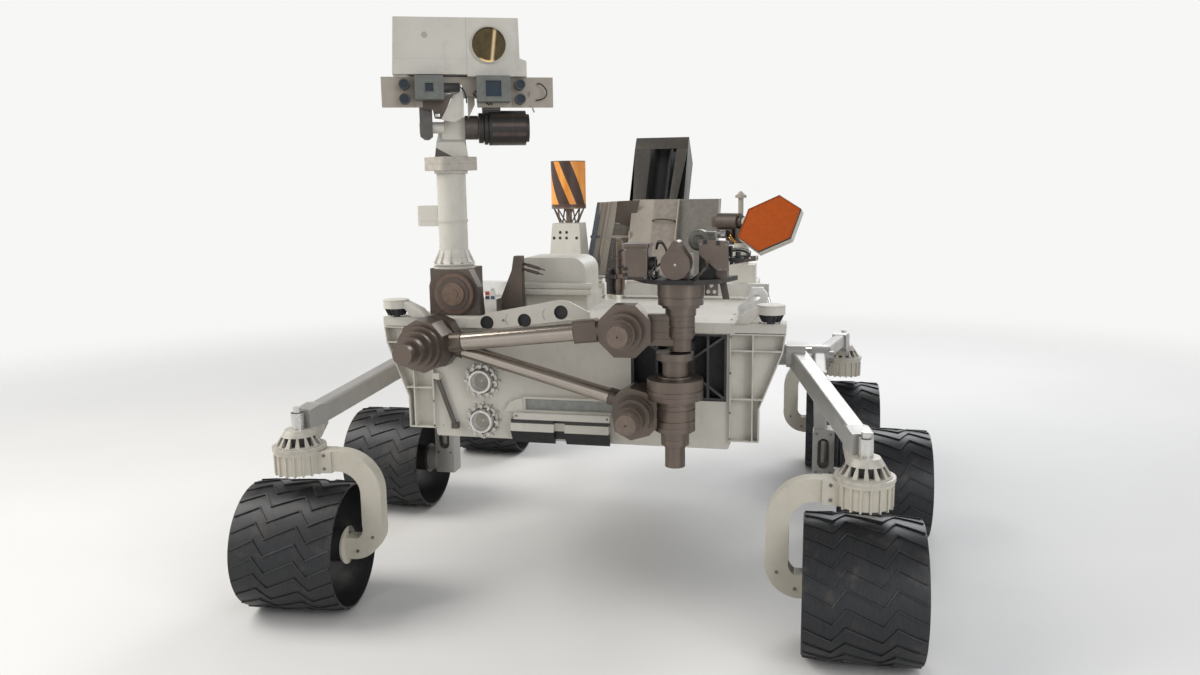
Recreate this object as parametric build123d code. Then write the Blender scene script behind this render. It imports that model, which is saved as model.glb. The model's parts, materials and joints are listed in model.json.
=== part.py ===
from build123d import *
import math
import os

# Six-wheeled planetary rover at full scale, arm stowed across its front.
# Millimetres. +X points ahead, +Y to the rover's left, +Z up.
# The origin is on the ground, midway between the two middle wheels.

# Wheels: a skin of flat facets, one under each lug
TIP_R = 254              # axle to the lugs' flat tips
LUG_H = 6
RIM_W = 400
RIM_SHOULDER = 34        # width of the band at each edge that draws in
RIM_DROP = 4             # how far it draws in
RIM_WALL = 8
LUG_COUNT = 24
LUG_T = 8
LUG_SWEEP = 26           # a lug swings this far to each side of its facet's middle
LUG_STEP = 22            # half the width of its steep leg
RING_SEAT = 0.3          # gap between the hub's ring and the skin
RING_DEPTH = 15
RING_Y = 40
RING_W = 40
SPOKE_COUNT = 6
SPOKE_T = 7
SPOKE_ROOT = 18          # how deep a spoke starts in the hub
SPOKE_RUNOUT = 31        # how far a spoke's curve would run past the ring
HUB_R = 58
HUB_Y = (-40, 150)
HUB_CAP_T = 14
HUB_CAP_INSET = 16
AXLE_R = 24
AXLE_SHORT = 30          # blind end of the hub's bore behind its outer face
FIT = 0.05               # running clearance of a shaft, on the radius
FACE_GAP = 1             # between faces that turn on each other

# Where the wheels stand: half tracks and axle places
FRONT_X = 1200
REAR_X = -1050
END_TRACK = 1060
MIDDLE_TRACK = 1215

# name, x, half track, side (1 left, -1 right), steering angle as parked in degrees, steered
WHEELS = [
    ("front_left", FRONT_X, END_TRACK, 1, 0, True),
    ("front_right", FRONT_X, END_TRACK, -1, 6.33, True),
    ("middle_left", 0, MIDDLE_TRACK, 1, 0, False),
    ("middle_right", 0, MIDDLE_TRACK, -1, 0, False),
    ("rear_left", REAR_X, END_TRACK, 1, 0, True),
    ("rear_right", REAR_X, END_TRACK, -1, 0, True),
]

# Steering: drum and arch turn with the wheel, the ribbed cone above stays on the arm
DRUM_Z = (556, 644)
DRUM_R = 92
DRUM_RIBS = 18
DRUM_RIB_H = 6
DRUM_RIB_T = 6
DRUM_TOOTH = 5           # the ribs reach this far below the drum
DRUM_LIP_T = 12
KING_R = 34
KING_DEPTH = 45
FLANGE_T = 13
FLANGE_R = 102
CONE_TOP_Z = 722
CONE_LOW_R = 90
CONE_TOP_R = 50
POCKETS = 14             # windows between the cone's fins
POCKET_R = 62            # how far in they reach
POCKET_W = 21
POCKET_H = 34
MOTOR_TOP_Z = 786
MOTOR_R = 25
CAP_TOP_Z = 808
CAP_R = 16
NECK_HALF_T = 38         # the arm's flat-sided neck on the cone
# neck's side outline: distance from the kingpin's axis along the arm, height
NECK = [(20, 672), (78, 672), (118, 722), (126, 800), (84, 806), (30, 792)]
NECK_END = (108, 764)    # where the arm's beam runs into it
ARCH_OUT_Y = -328        # strut's inboard face, from the wheel's centre
ARCH_BAND = 80           # strut's width across the travel
ARCH_DEPTH = 66          # strut's depth along the travel
ARCH_BEND_R = 168
ARCH_FOOT_Y = -170
ARCH_PAD = (-170, 6)     # pad where it bolts to the drum: y from the axis, and its thickness
DRIVE_R = 66
DRIVE_Y = (-175, -60)
DRIVE_STEP = 18
DRIVE_FLANGE = 8         # raised bolting ring round the drive

# Body box
BODY_X = (-700, 970)
BODY_HALF_W = 583
BODY_Z = (656, 1097)
BODY_ROUND = 12
POCKET_DEPTH = 60        # recess in the front behind the arm's actuators
POCKET_Y = (212, 571)
POCKET_Z = (838, 1091)
TRUSS_T = 9

# Deck
DECK_T = 38
DECK_TOP = BODY_Z[1] + DECK_T
DECK_X = (-740, 985)
DECK_HALF_W = 600
WING_HALF_W = 784
WING_X = (880, 985)
WING_TAPER = 120
HOIST_X = (-450, 450)
HOIST_HALF_Y = 520
HOIST_R = 6.5
HOIST_DEPTH = 30

# Suspension
ROCKER_X = 420
ROCKER_Z = 925
ROCKER_SHAFT_R = 46
ROCKER_BOX = (70, 46)    # half length and half height of the pivot's housing
ROCKER_Y = (775, 853)    # the housing's faces
ROCKER_CAP = (24, 30)    # thickness and radius of its outer cap
ARM_Y = 812
FRONT_BEAM = (72, 80)    # width and height of the arms' box sections
REAR_BEAM = (66, 76)
BOGIE_X = -450
BOGIE_Z = 760
BOGIE_Y = (872, 968)
BOGIE_DRUM_R = 62
BOGIE_BEAM = (58, 68)
BEAM_ROUND = 12
KNEE_Z = 734             # where the beam turns down to the middle wheel
KNEE_R = 42
LEG_BEAM = (66, 60)
LEG_BOX_Y = (894, 992)   # housing over the middle wheel's drive
LEG_BOX_TOP = 505
LEG_BOX_HALF = 46
LEG_WINDOW = (27, 318, 462, 34)  # half width, low, high, depth
LEG_MOTOR = (17, 345, 450)       # radius, low, high
DIFF_X = 250
DIFF_HALF = 690
DIFF_Z = (1150, 1205)
DIFF_BAR = (80, 44)      # width in the middle and at the ends
LINK_FOOT = (325, 898)   # where the drop link meets the rocker's arm
LINK_R = 10

# Corner gussets and the round housings over them
GUSSET_X = (945, 985)
GUSSET_SKIN = 6
GUSSET_RIB = 5
GUSSET_FOOT_Z = 690
# outer edge from the top: y, z
GUSSET_EDGE = [(WING_HALF_W, BODY_Z[1]), (WING_HALF_W - 9, 1030), (WING_HALF_W - 92, 815),
               (WING_HALF_W - 92, GUSSET_FOOT_Z)]
GUSSET_SHELVES = (850, 1031)
GUSSET_UPRIGHT = 664
PUCK_X = 976
PUCK_IN = 54              # its axis, in from the wing's end
PUCK_R = 50
PUCK_RIBS = 16

# Front panel's fittings: faces measured ahead of the body's front
SHELF_Y = (-246, 134)
SHELF_RECESS = (-205, 134, 780, 824)     # y and z of its open slot
SHELF_OUT = 15                           # the slot's frame stands out this far
LEDGE = (746, 772, 36)                   # z and how far it stands out
TRAYS = [(-262, -89), (-45, 128)]        # y of the two tilted doors
TRAY_Z = (646, 698, 728)                 # foot, lip and hinge heights
TRAY_OUT = (4, 34, 26)                   # how far each stands out
BIT_BOXES = (888, 729)   # heights of the two holders
BIT_Y = -382
BIT_CUP = (45, 37, 40)   # outer radius, inner radius, depth
BIT_RING = (64, 12)      # radius and thickness of its base
BIT_CLIPS = 12
BIT_CLIP = (52, 74, 9, 30)       # inner and outer radius, width, depth
LATCH_ROD = [(-568, 903), (-498, 704)]   # slanted rod: y, z of its ends
LATCH_R = 9
# outline of the plate on the deck's front edge: y, z
STOW_EDGE = [(-438, 1100), (-425, 1128), (-330, 1160), (-60, 1212), (-20, 1208),
             (59, 1168), (62, 1140), (-20, 1136), (-299, 1100)]
STOW_T = 12
STOW_HOLES = [(-347, 1121), (-196, 1132), (-51, 1166)]
STOW_HOLE_R = 25

# Arm: azimuth stack, then planes and axes of its links
STACK = (1150, 405)
STACK_SPLIT_Z = 962      # the actuator turns below this height
SHOULDER = (264, 830)    # y, z of the axis, which runs along X
ELBOW = (-541, 1052)
WRIST = (238, 1134)
UPPER_X = 1046
FORE_X = 1116
UPPER_R = 29
FORE_R = 34
COLLAR = 4               # the upper tube's collars stand this far out of it
FORE_COLLAR = 2          # and the forearm's
CUFF = (68, 82)          # boxed part of the forearm, along X and upright
ARM_BACK_X = 1016
PIVOT_X = 1080           # face between the links of the two planes
PIVOT_R = 30
CAP_FRONT_X = 1352
TURRET = (1150, 425)     # x, y of its upright axis
TURRET_Z = 1213          # face between the wrist and the turret
TURRET_PIN_R = 24

# turned pieces of the arm: from, to, radius
STACK_LOW = [(638, 712, 36), (712, 720, 40), (720, 764, 50), (764, 772, 58), (772, 812, 72),
             (812, 817, 69), (817, 852, 72), (852, 857, 69), (857, 888, 72), (888, 921, 100),
             (921, 925, 97), (925, STACK_SPLIT_Z - FACE_GAP, 100)]
STACK_HIGH = [(STACK_SPLIT_Z, 970, 60), (970, 1016, 44), (1016, 1028, 48), (1028, 1054, 66)]
SHOULDER_DISCS = [(1190, 1214, 70), (1214, 1218, 64), (1218, 1246, 66), (1246, 1298, 50),
                  (1298, 1304, 42), (1304, CAP_FRONT_X, 36)]
ELBOW_DISCS = [(1190, 1216, 84), (1216, 1252, 70), (1252, 1256, 60), (1256, 1300, 54),
               (1300, 1306, 42), (1306, CAP_FRONT_X, 37)]
WRIST_DISCS = [(1225, 1260, 68), (1260, 1264, 56), (1264, 1302, 52), (1302, 1308, 42),
               (1308, CAP_FRONT_X, 37)]
WRIST_MOTOR = [(1061, 1104, 40), (1104, 1112, 46), (1112, 1146, 50), (1146, 1150, 47),
               (1150, 1186, 50), (1186, TURRET_Z - FACE_GAP, 54)]
TURRET_RING = [(TURRET_Z, 1224, 66), (1224, 1250, 80), (1250, 1254, 77), (1254, 1302, 82)]

# housings of the arm: corners round their axis as angle in degrees, radius
SHOULDER_SHAPE = [(20, 98), (62, 92), (100, 98), (142, 96), (178, 82), (222, 96), (262, 96),
                  (305, 92), (340, 98)]
ELBOW_SHAPE = [(12, 104), (48, 108), (84, 110), (118, 104), (150, 92), (186, 88), (226, 96),
               (262, 104), (300, 104), (338, 98)]
WRIST_SHAPE = [(22.5 + 45 * k, 100) for k in range(8)]

# Mast
MAST = (800, -549)
MAST_R = 58
MAST_FOOT_Z = 1316
MAST_TOP_Z = 1757
MAST_COLLAR_H = 53
MAST_PIN_R = 24
HINGE = (-510, 1222)     # y, z of its drum
HINGE_R = 86
HINGE_FACES = [(915, 921, 82), (921, 925, 64), (925, 929, 46), (929, 931, 20)]
HEAD_TURN = 21.7         # the head looks this far to the left as parked
TILT_AXIS = (60, 1868)   # ahead of the mast's axis, and height
TILT_R = 22
HEAD_BAR_Z = (1950, 2055)
# instrument box from the front: y, z
HEAD_OUTLINE = [(-205, 2062), (75, 2062), (75, 2055), (302, 2055), (302, 2112), (276, 2122),
                (273, 2270), (-194, 2270)]
HEAD_BOX_X = (-110, 140)
WINDOW = (160, 2171, 64, 10, 10)     # y, z, radius, recess, collar
# cameras of the bar: y range, z range, how far ahead, window's half size
MAST_CAMERAS = [((-122, -15), (1966, 2054), 70, 15), ((108, 235), (1958, 2054), 70, 29)]
NAV_Y = (-163, 276)
NAV_Z = (1971, 2025)
NAV_R = 20
NAV_OUT = 35

# Generator at the back, its long axis leaning rearwards
GEN_FIN_R = 168
GEN_CORE_R = 92
GEN_BASE_R = 120
GEN_LEN = 640
GEN_LEAN = 50            # degrees above level
GEN_FOOT_Z = 1330
GEN_Y = -9
GEN_FINS = 8
GEN_FIN_T = 6
GEN_FIN_CUT = 70         # corner cut off each fin at its ends
GEN_PLATE_T = 12
STRUT_R = 13

# Panels ahead of the generator: (x, z) of the face, from the deck up
PANEL_FACE = [(-573, DECK_TOP), (-640, 1330), (-792, 1560)]
PANEL_T = 14
PANEL_Y = (-110, 371)
PANEL_RIB_Y = 151
SIDE_STRIPS = [(-236, 12), (-300, 26)]   # y at the top and thickness, on the right side
STRIP_SPREAD = 80        # how much further out their feet stand

# Aerials
DISH = (-100, 676, 1445)
DISH_R = 162
DISH_T = 34
DISH_TURN = -27.5        # degrees to the left of straight ahead
DISH_RISE = 37.4         # degrees above level
DISH_ROLL = 0.7
GIMBAL = (-245, 530)
GIMBAL_Z = 1455
UHF = (-600, -430)
UHF_R = 94
UHF_Z = (1526, 1773)
UHF_BOX = (220, 190, 150, 150)   # foot's two sides, then its top's
UHF_BOX_TOP = 1440
UHF_STRUTS = 6
LOW_GAIN = (-710, 494, 1565)


# Helpers

def block(x, y, z):
    """A box from three (low, high) pairs."""
    size = [abs(b - a) for a, b in (x, y, z)]
    centre = [(a + b) / 2 for a, b in (x, y, z)]
    return Pos(*centre) * Box(*size)


def round_block(x, y, z, r):
    """A box with its upright edges rounded."""
    solid = block(x, y, z)
    return fillet(solid.edges().filter_by(Axis.Z), r)


def rod(start, end, r):
    """A round bar between two points."""
    a = Vector(*start)
    run = Vector(*end) - a
    bar = Cylinder(r, run.length, align=(Align.CENTER, Align.CENTER, Align.MIN))
    return Plane(origin=a, z_dir=run) * bar


def disc_x(x, y, z, r):
    """A round slab whose axis runs along X between two x values."""
    return rod((x[0], y, z), (x[1], y, z), r)


def disc_y(y, x, z, r):
    """A round slab whose axis runs along Y between two y values."""
    return rod((x, y[0], z), (x, y[1], z), r)


def disc_z(z, x, y, r):
    """An upright round slab between two heights."""
    return rod((x, y, z[0]), (x, y, z[1]), r)


def cone_z(z, x, y, r_low, r_high):
    """An upright cone between two heights."""
    body = Cone(r_low, r_high, z[1] - z[0], align=(Align.CENTER, Align.CENTER, Align.MIN))
    return Pos(x, y, z[0]) * body


def turned(steps):
    """A turned piece round Z from a table of steps: from, to, radius."""
    points = [(0, 0, steps[0][0])]
    for low, high, r in steps:
        points += [(r, 0, low), (r, 0, high)]
    points.append((0, 0, steps[-1][1]))
    return revolve(make_face(Polyline(*points, close=True)), Axis.Z)


def turned_x(steps, y, z):
    """A turned piece whose axis runs along X."""
    return Pos(0, y, z) * Rot(0, 90, 0) * turned(steps)


def turned_z(steps, x, y):
    """A turned piece whose axis is upright."""
    return Pos(x, y, 0) * turned(steps)


def around(table, centre):
    """Corners of an outline from a table of angle in degrees and radius."""
    turns = [(math.radians(angle), r) for angle, r in table]
    return [(centre[0] + r * math.cos(a), centre[1] + r * math.sin(a)) for a, r in turns]


def plate_x(outline, x):
    """An outline of (y, z) corners made solid between two x values."""
    wire = Polyline(*[(x[0], y, z) for y, z in outline], close=True)
    return extrude(make_face(wire), amount=x[1] - x[0], dir=(1, 0, 0))


def plate_y(outline, y):
    """An outline of (x, z) corners made solid between two y values."""
    wire = Polyline(*[(x, y[0], z) for x, z in outline], close=True)
    return extrude(make_face(wire), amount=y[1] - y[0], dir=(0, 1, 0))


def plate_z(outline, z):
    """An outline of (x, y) corners made solid between two heights."""
    wire = Polyline(*[(x, y, z[0]) for x, y in outline], close=True)
    return extrude(make_face(wire), amount=z[1] - z[0], dir=(0, 0, 1))


def strip_x(start, end, thick, x):
    """A flat strip between two (y, z) points, its width lying along X."""
    a, b = Vector(0, *start), Vector(0, *end)
    side = (b - a).normalized().cross(Vector(1, 0, 0)) * (thick / 2)
    return plate_x([(p.Y, p.Z) for p in (a - side, b - side, b + side, a + side)], x)


def beam(start, end, size):
    """Box beam with rounded edges between two points; size is its level width and its height."""
    a = Vector(*start)
    run = Vector(*end) - a
    across = run.cross(Vector(0, 0, 1))
    section = Plane(origin=a, x_dir=across, z_dir=run) * RectangleRounded(*size, BEAM_ROUND)
    return extrude(section.face(), amount=run.length, dir=run.normalized())


def ring_of(piece, count, shift=0):
    """Copies of a piece turned round Z, as a list."""
    return [Rot(0, 0, 360 / count * (k + shift)) * piece for k in range(count)]


def other_side(solid):
    """The same piece on the rover's other side."""
    return mirror(solid, about=Plane.XZ)


def save(name, *solids):
    """Write one node; its solids do not touch, or there is only one."""
    parts = [s for solid in solids for s in solid.solids()]
    node = parts[0] if len(parts) == 1 else Compound(children=parts)
    node.label = name
    export_step(node, f"parts/{name}.step")


# Wheel pieces, round the wheel's centre, for the left side: the arch is towards -Y

def drum_prism(apothem, y, taper=0):
    """A prism with one flat side per lug, its axis along Y, drawn in towards its far end."""
    turn = Plane(origin=(0, y[0], 0), x_dir=(1, 0, 0), z_dir=(0, y[1] - y[0], 0))
    side = turn * RegularPolygon(apothem, LUG_COUNT, major_radius=False, rotation=180 / LUG_COUNT)
    return extrude(side, amount=abs(y[1] - y[0]), taper=taper)


def rim():
    """Thin skin, one flat facet under each lug, its edges drawn in; a lug's inboard end is pointed."""
    crown, half = TIP_R - LUG_H, RIM_W / 2
    flat = half - RIM_SHOULDER
    lean = math.degrees(math.atan(RIM_DROP / RIM_SHOULDER))
    skin = drum_prism(crown, (-flat, flat))
    skin += drum_prism(crown, (flat, half), lean)
    skin += drum_prism(crown, (-flat, -half), lean)
    path = [(-flat, LUG_SWEEP), (-LUG_STEP, -LUG_SWEEP), (LUG_STEP, LUG_SWEEP), (flat, -LUG_SWEEP)]
    band = [(y, s - LUG_T / 2) for y, s in path[1:]] + [(y, s + LUG_T / 2) for y, s in reversed(path[1:])]
    band.append(path[0])
    lug = plate_x(band, (crown, TIP_R))
    for k in range(LUG_COUNT):
        skin += Rot(0, 360 / LUG_COUNT * k, 0) * lug
    return skin - drum_prism(crown - RIM_WALL, (-half, half))


def spider():
    """Hub with curved springy spokes and the stiffening ring that seats in the skin."""
    seat = TIP_R - LUG_H - RIM_WALL - RING_SEAT
    ring_r = seat - RING_DEPTH
    y = (RING_Y, RING_Y + RING_W)
    ring = drum_prism(seat, y) - disc_y(y, 0, 0, ring_r)
    bow_in, bow_out = HUB_R - SPOKE_ROOT, ring_r + SPOKE_RUNOUT
    mid_r, bow_r = (bow_out + bow_in) / 2, (bow_out - bow_in) / 2
    bow = disc_y(y, mid_r, 0, bow_r) - disc_y(y, mid_r, 0, bow_r - SPOKE_T)
    bow = (bow - block((0, 2 * ring_r), y, (-ring_r, 0))) & disc_y(y, 0, 0, ring_r + RING_DEPTH / 2)
    hub = disc_y(HUB_Y, 0, 0, HUB_R)
    hub += disc_y((HUB_Y[1], HUB_Y[1] + HUB_CAP_T), 0, 0, HUB_R - HUB_CAP_INSET)
    for k in range(SPOKE_COUNT):
        hub += Rot(0, 360 / SPOKE_COUNT * k, 0) * bow
    return hub + ring - disc_y((HUB_Y[0], HUB_Y[1] - AXLE_SHORT), 0, 0, AXLE_R + FIT)


def drive():
    """Wheel motor housing with its bolting ring, and the axle that the hub turns on."""
    start, end = DRIVE_Y
    axle_from, axle_to = HUB_Y[0] - FACE_GAP, HUB_Y[1] - AXLE_SHORT - FACE_GAP
    housing = disc_y(DRIVE_Y, 0, 0, DRIVE_R)
    ring = disc_y((start, start + DRIVE_FLANGE), 0, 0, DRIVE_R + DRIVE_FLANGE)
    neck = disc_y((end, axle_from), 0, 0, DRIVE_R - DRIVE_STEP)
    return housing + ring + neck + disc_y((axle_from, axle_to), 0, 0, AXLE_R)


def arch():
    """Box-section strut that curves from the steering drum in and down to the wheel's drive."""
    top = DRUM_Z[1] - 2 - TIP_R
    low = top - ARCH_BAND
    out, inner = ARCH_OUT_Y, ARCH_OUT_Y + ARCH_BAND
    bend, small = ARCH_BEND_R, ARCH_BEND_R - ARCH_BAND
    foot = ARCH_FOOT_Y
    knee = 90
    edges = Polyline((-DRUM_R + 20, low), (-DRUM_R + 20, top), (out + bend, top))
    edges += RadiusArc((out + bend, top), (out, top - bend), -bend)
    edges += Line((out, top - bend), (out, knee))
    edges += ThreePointArc((out, knee), (out + 40, -15), (foot, -40))
    edges += Polyline((foot, -40), (foot, 40), (inner + 20, 40))
    edges += ThreePointArc((inner + 20, 40), (inner + 6, 54), (inner, knee))
    edges += Line((inner, knee), (inner, top - bend))
    edges += RadiusArc((inner, top - bend), (out + bend, low), small)
    edges += Line((out + bend, low), (-DRUM_R + 20, low))
    strut = Plane.YZ * extrude(make_face(edges), amount=ARCH_DEPTH)
    reach, thick = ARCH_PAD
    pad = block((-thick, ARCH_DEPTH + thick), (reach + 30, -DRUM_R + 20), (low - thick, top))
    return Pos(-ARCH_DEPTH / 2, 0, 0) * (strut + pad)


def knuckle():
    """Steering drum, arch and drive as one piece that turns about the upright kingpin."""
    z = (DRUM_Z[0] - TIP_R, DRUM_Z[1] - TIP_R)
    drum = disc_z(z, 0, 0, DRUM_R) + disc_z((z[1] - DRUM_LIP_T, z[1]), 0, 0, DRUM_R + DRUM_RIB_H)
    rib = block((DRUM_R - 12, DRUM_R + DRUM_RIB_H), (-DRUM_RIB_T / 2, DRUM_RIB_T / 2),
                (z[0] - DRUM_TOOTH, z[1] - 10))
    bore = disc_z((z[1] - KING_DEPTH, z[1]), 0, 0, KING_R + FIT)
    return drum + ring_of(rib, DRUM_RIBS, 0.5) + arch() + drive() - bore


def neck(x, y, toward):
    """Flat-sided neck on a steering cone, and where the arm from a given point runs into it."""
    along = Vector(toward[0] - x, toward[1] - y, 0).normalized()
    side = Plane(origin=(x, y, 0), x_dir=along, z_dir=along.cross(Vector(0, 0, 1)))
    outline = side * make_face(Polyline(*[(u, v, 0) for u, v in NECK], close=True))
    reach, height = NECK_END
    end = Vector(x, y, height) + along * reach
    return extrude(outline, amount=NECK_HALF_T, both=True), (end.X, end.Y, end.Z)


def steer_head(x, y):
    """Fixed half of a steering actuator: kingpin, flange, cone with windows, motor and cap."""
    base = DRUM_Z[1] + FACE_GAP
    flange_top = base + FLANGE_T
    cone = cone_z((flange_top, CONE_TOP_Z), 0, 0, CONE_LOW_R, CONE_TOP_R)
    window = block((POCKET_R, FLANGE_R), (-POCKET_W / 2, POCKET_W / 2),
                   (flange_top + 5, flange_top + 5 + POCKET_H))
    cone -= ring_of(window, POCKETS, 0.5)
    king = disc_z((DRUM_Z[1] - KING_DEPTH + FACE_GAP, base), 0, 0, KING_R)
    column = turned([(base, flange_top, FLANGE_R), (flange_top, flange_top + 5, CONE_LOW_R),
                     (flange_top + 5, CONE_TOP_Z, CONE_TOP_R - 8), (CONE_TOP_Z, MOTOR_TOP_Z, MOTOR_R),
                     (MOTOR_TOP_Z, CAP_TOP_Z, CAP_R)])
    return Pos(x, y, 0) * (king + cone + column)


def set_wheel_piece(piece, x, half_track, side, turn):
    """Carry a left-hand wheel piece to its corner, at its parked steering angle."""
    there = piece if side > 0 else other_side(piece)
    return Pos(x, side * half_track, TIP_R) * Rot(0, 0, turn) * there


# Suspension, drawn on the left side

def rocker():
    """Pivot housing beside the body, arm ahead to the front steering, arm back to the bogie."""
    x, z = ROCKER_X, ROCKER_Z
    half_x, half_z = ROCKER_BOX
    housing = block((x - half_x, x + half_x), ROCKER_Y, (z - half_z, z + half_z))
    housing = fillet(housing.edges().filter_by(Axis.Y), half_z / 2)
    shaft = disc_y((BODY_HALF_W, ROCKER_Y[0]), x, z, ROCKER_SHAFT_R)
    cap = disc_y((ROCKER_Y[1], ROCKER_Y[1] + ROCKER_CAP[0]), x, z, ROCKER_CAP[1])
    joint, end = neck(FRONT_X, END_TRACK, (x, ARM_Y))
    ahead = beam((x, ARM_Y, z - 6), end, FRONT_BEAM)
    back = beam((x, ARM_Y, z - 6), (BOGIE_X, ARM_Y + 6, BOGIE_Z), REAR_BEAM)
    tail = disc_y((ARM_Y - 40, BOGIE_Y[0]), BOGIE_X, BOGIE_Z, BOGIE_DRUM_R)
    return housing + shaft + cap + ahead + back + tail + joint + steer_head(FRONT_X, END_TRACK)


def leg_box():
    """Housing over a middle wheel's drive, with an oval window on its upright motor."""
    mid_y = sum(LEG_BOX_Y) / 2
    half = LEG_BOX_HALF
    box = block((-half, half), LEG_BOX_Y, (TIP_R - 60, LEG_BOX_TOP))
    box = fillet(box.edges().filter_by(Axis.X).group_by(Axis.Z)[-1], 22)
    wide, low, high, depth = LEG_WINDOW
    back = (half - depth, half)
    window = block(back, (mid_y - wide, mid_y + wide), (low + wide, high - wide))
    window += disc_x(back, mid_y, low + wide, wide) + disc_x(back, mid_y, high - wide, wide)
    r, foot, top = LEG_MOTOR
    return box - window + disc_z((foot, top), half - depth + r - 3, mid_y, r)


def bogie():
    """Pivot drum, arm back to the rear steering, leg down to the middle wheel's drive."""
    x, z = BOGIE_X, BOGIE_Z
    mid_y = sum(BOGIE_Y) / 2
    pivot = disc_y(BOGIE_Y, x, z, BOGIE_DRUM_R)
    pivot += disc_y((BOGIE_Y[1], BOGIE_Y[1] + ROCKER_CAP[0]), x, z, ROCKER_CAP[1])
    joint, end = neck(REAR_X, END_TRACK, (x, mid_y))
    back = beam((x, mid_y, z), end, BOGIE_BEAM)
    ahead = beam((x, mid_y, z), (0, mid_y, KNEE_Z), BOGIE_BEAM)
    wide = BOGIE_BEAM[0] / 2
    knee = disc_y((mid_y - wide, mid_y + wide), 0, KNEE_Z, KNEE_R)
    leg = beam((0, mid_y, KNEE_Z), (0, mid_y + 8, LEG_BOX_TOP - 20), LEG_BEAM)
    motor = Pos(0, MIDDLE_TRACK, TIP_R) * drive()
    motor += disc_y((LEG_BOX_Y[1] - 2, MIDDLE_TRACK + DRIVE_Y[0]), 0, TIP_R, DRIVE_R - 6)
    solids = pivot + back + ahead + knee + leg + leg_box() + motor
    return solids + joint + steer_head(REAR_X, END_TRACK)


def differential():
    """Bar across the deck that ties the two rockers, with a drop link at each end."""
    wide, narrow = DIFF_BAR[0] / 2, DIFF_BAR[1] / 2
    half = [(DIFF_X - wide, 0), (DIFF_X - narrow, DIFF_HALF), (DIFF_X + narrow, DIFF_HALF),
            (DIFF_X + wide, 0)]
    bar = plate_z(half, DIFF_Z)
    post = disc_z((DECK_TOP, DIFF_Z[1] + 20), DIFF_X, 0, 55)
    x, z = LINK_FOOT
    inner = ARM_Y - FRONT_BEAM[0] / 2
    link = rod((DIFF_X, DIFF_HALF - 12, DIFF_Z[0] + 20), (x, inner - 19, z), LINK_R)
    link += disc_y((inner - 27, inner - 0.3), x, z, LINK_R + 5)
    return bar + other_side(bar) + post + link + other_side(link)


# Body

def body_box():
    """Closed equipment box with the arm's recess in its front."""
    box = block(BODY_X, (-BODY_HALF_W, BODY_HALF_W), BODY_Z)
    box = fillet(box.edges().filter_by(Axis.X), BODY_ROUND)
    return box - block((BODY_X[1] - POCKET_DEPTH, BODY_X[1]), POCKET_Y, POCKET_Z)


def deck():
    """Top plate with a wing at each front corner and four hoist holes."""
    plate = block(DECK_X, (-DECK_HALF_W, DECK_HALF_W), (BODY_Z[1], DECK_TOP))
    root = DECK_HALF_W - 5
    wing = plate_z([(WING_X[0] - WING_TAPER, root), (WING_X[0], WING_HALF_W),
                    (WING_X[1], WING_HALF_W), (WING_X[1], root)], (BODY_Z[1] + 3, DECK_TOP))
    plate = plate + wing + other_side(wing)
    for x in HOIST_X:
        for side in (-1, 1):
            plate -= disc_z((DECK_TOP - HOIST_DEPTH, DECK_TOP), x, side * HOIST_HALF_Y, HOIST_R)
    return plate + deck_bracket()


def deck_bracket():
    """Pale holed bracket behind the left front corner."""
    x = (782, 822)
    plate = plate_x([(600, DECK_TOP), (704, DECK_TOP), (709, 1222), (690, 1248), (648, 1248),
                     (634, 1204), (600, 1176)], x)
    return plate - disc_x(x, 669, 1211, 13) - disc_x(x, 630, 1156, 8)


def gusset():
    """Shallow ribbed tray beside the front panel, its outer edge slanting in to a small foot."""
    inner = BODY_HALF_W
    outline = [(inner, BODY_Z[1]), (inner, GUSSET_FOOT_Z)] + list(reversed(GUSSET_EDGE))
    skin = plate_x(outline, (GUSSET_X[0], GUSSET_X[0] + GUSSET_SKIN))
    full = plate_x(outline, GUSSET_X)
    inset = offset(make_face(Polyline(*[(0, y, z) for y, z in outline], close=True)), -GUSSET_RIB)
    hollow = extrude(inset, amount=GUSSET_X[1] - GUSSET_X[0], dir=(1, 0, 0))
    frame = full - Pos(GUSSET_X[0], 0, 0) * hollow
    upright = block(GUSSET_X, (GUSSET_UPRIGHT, GUSSET_UPRIGHT + GUSSET_RIB), (GUSSET_FOOT_Z, BODY_Z[1]))
    shelves = [block(GUSSET_X, (inner, WING_HALF_W), (z, z + GUSSET_RIB)) for z in GUSSET_SHELVES]
    return skin + frame + ((upright + shelves) & full)


def puck():
    """Round housing on a front corner: pale lid over a ribbed dark bowl."""
    low, mid, top = DECK_TOP + 8, DECK_TOP + 36, DECK_TOP + 70
    lid = disc_z((mid, top), 0, 0, PUCK_R)
    bowl = cone_z((low, mid), 0, 0, PUCK_R - 22, PUCK_R - 8)
    side = [(PUCK_R - 26, low), (PUCK_R - 16, low), (PUCK_R - 3, mid), (PUCK_R - 26, mid)]
    rib = plate_y(side, (-1.5, 1.5))
    stem = disc_z((DECK_TOP, low), 0, 0, 14)
    return Pos(PUCK_X, WING_HALF_W - PUCK_IN, 0) * (lid + bowl + ring_of(rib, PUCK_RIBS) + stem)


def stow_plate():
    """Upright plate on the deck's front edge with three round holes."""
    x = (DECK_X[1], DECK_X[1] + STOW_T)
    plate = plate_x(STOW_EDGE, x)
    for y, z in STOW_HOLES:
        plate -= disc_x(x, y, z, STOW_HOLE_R)
    return plate


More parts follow.
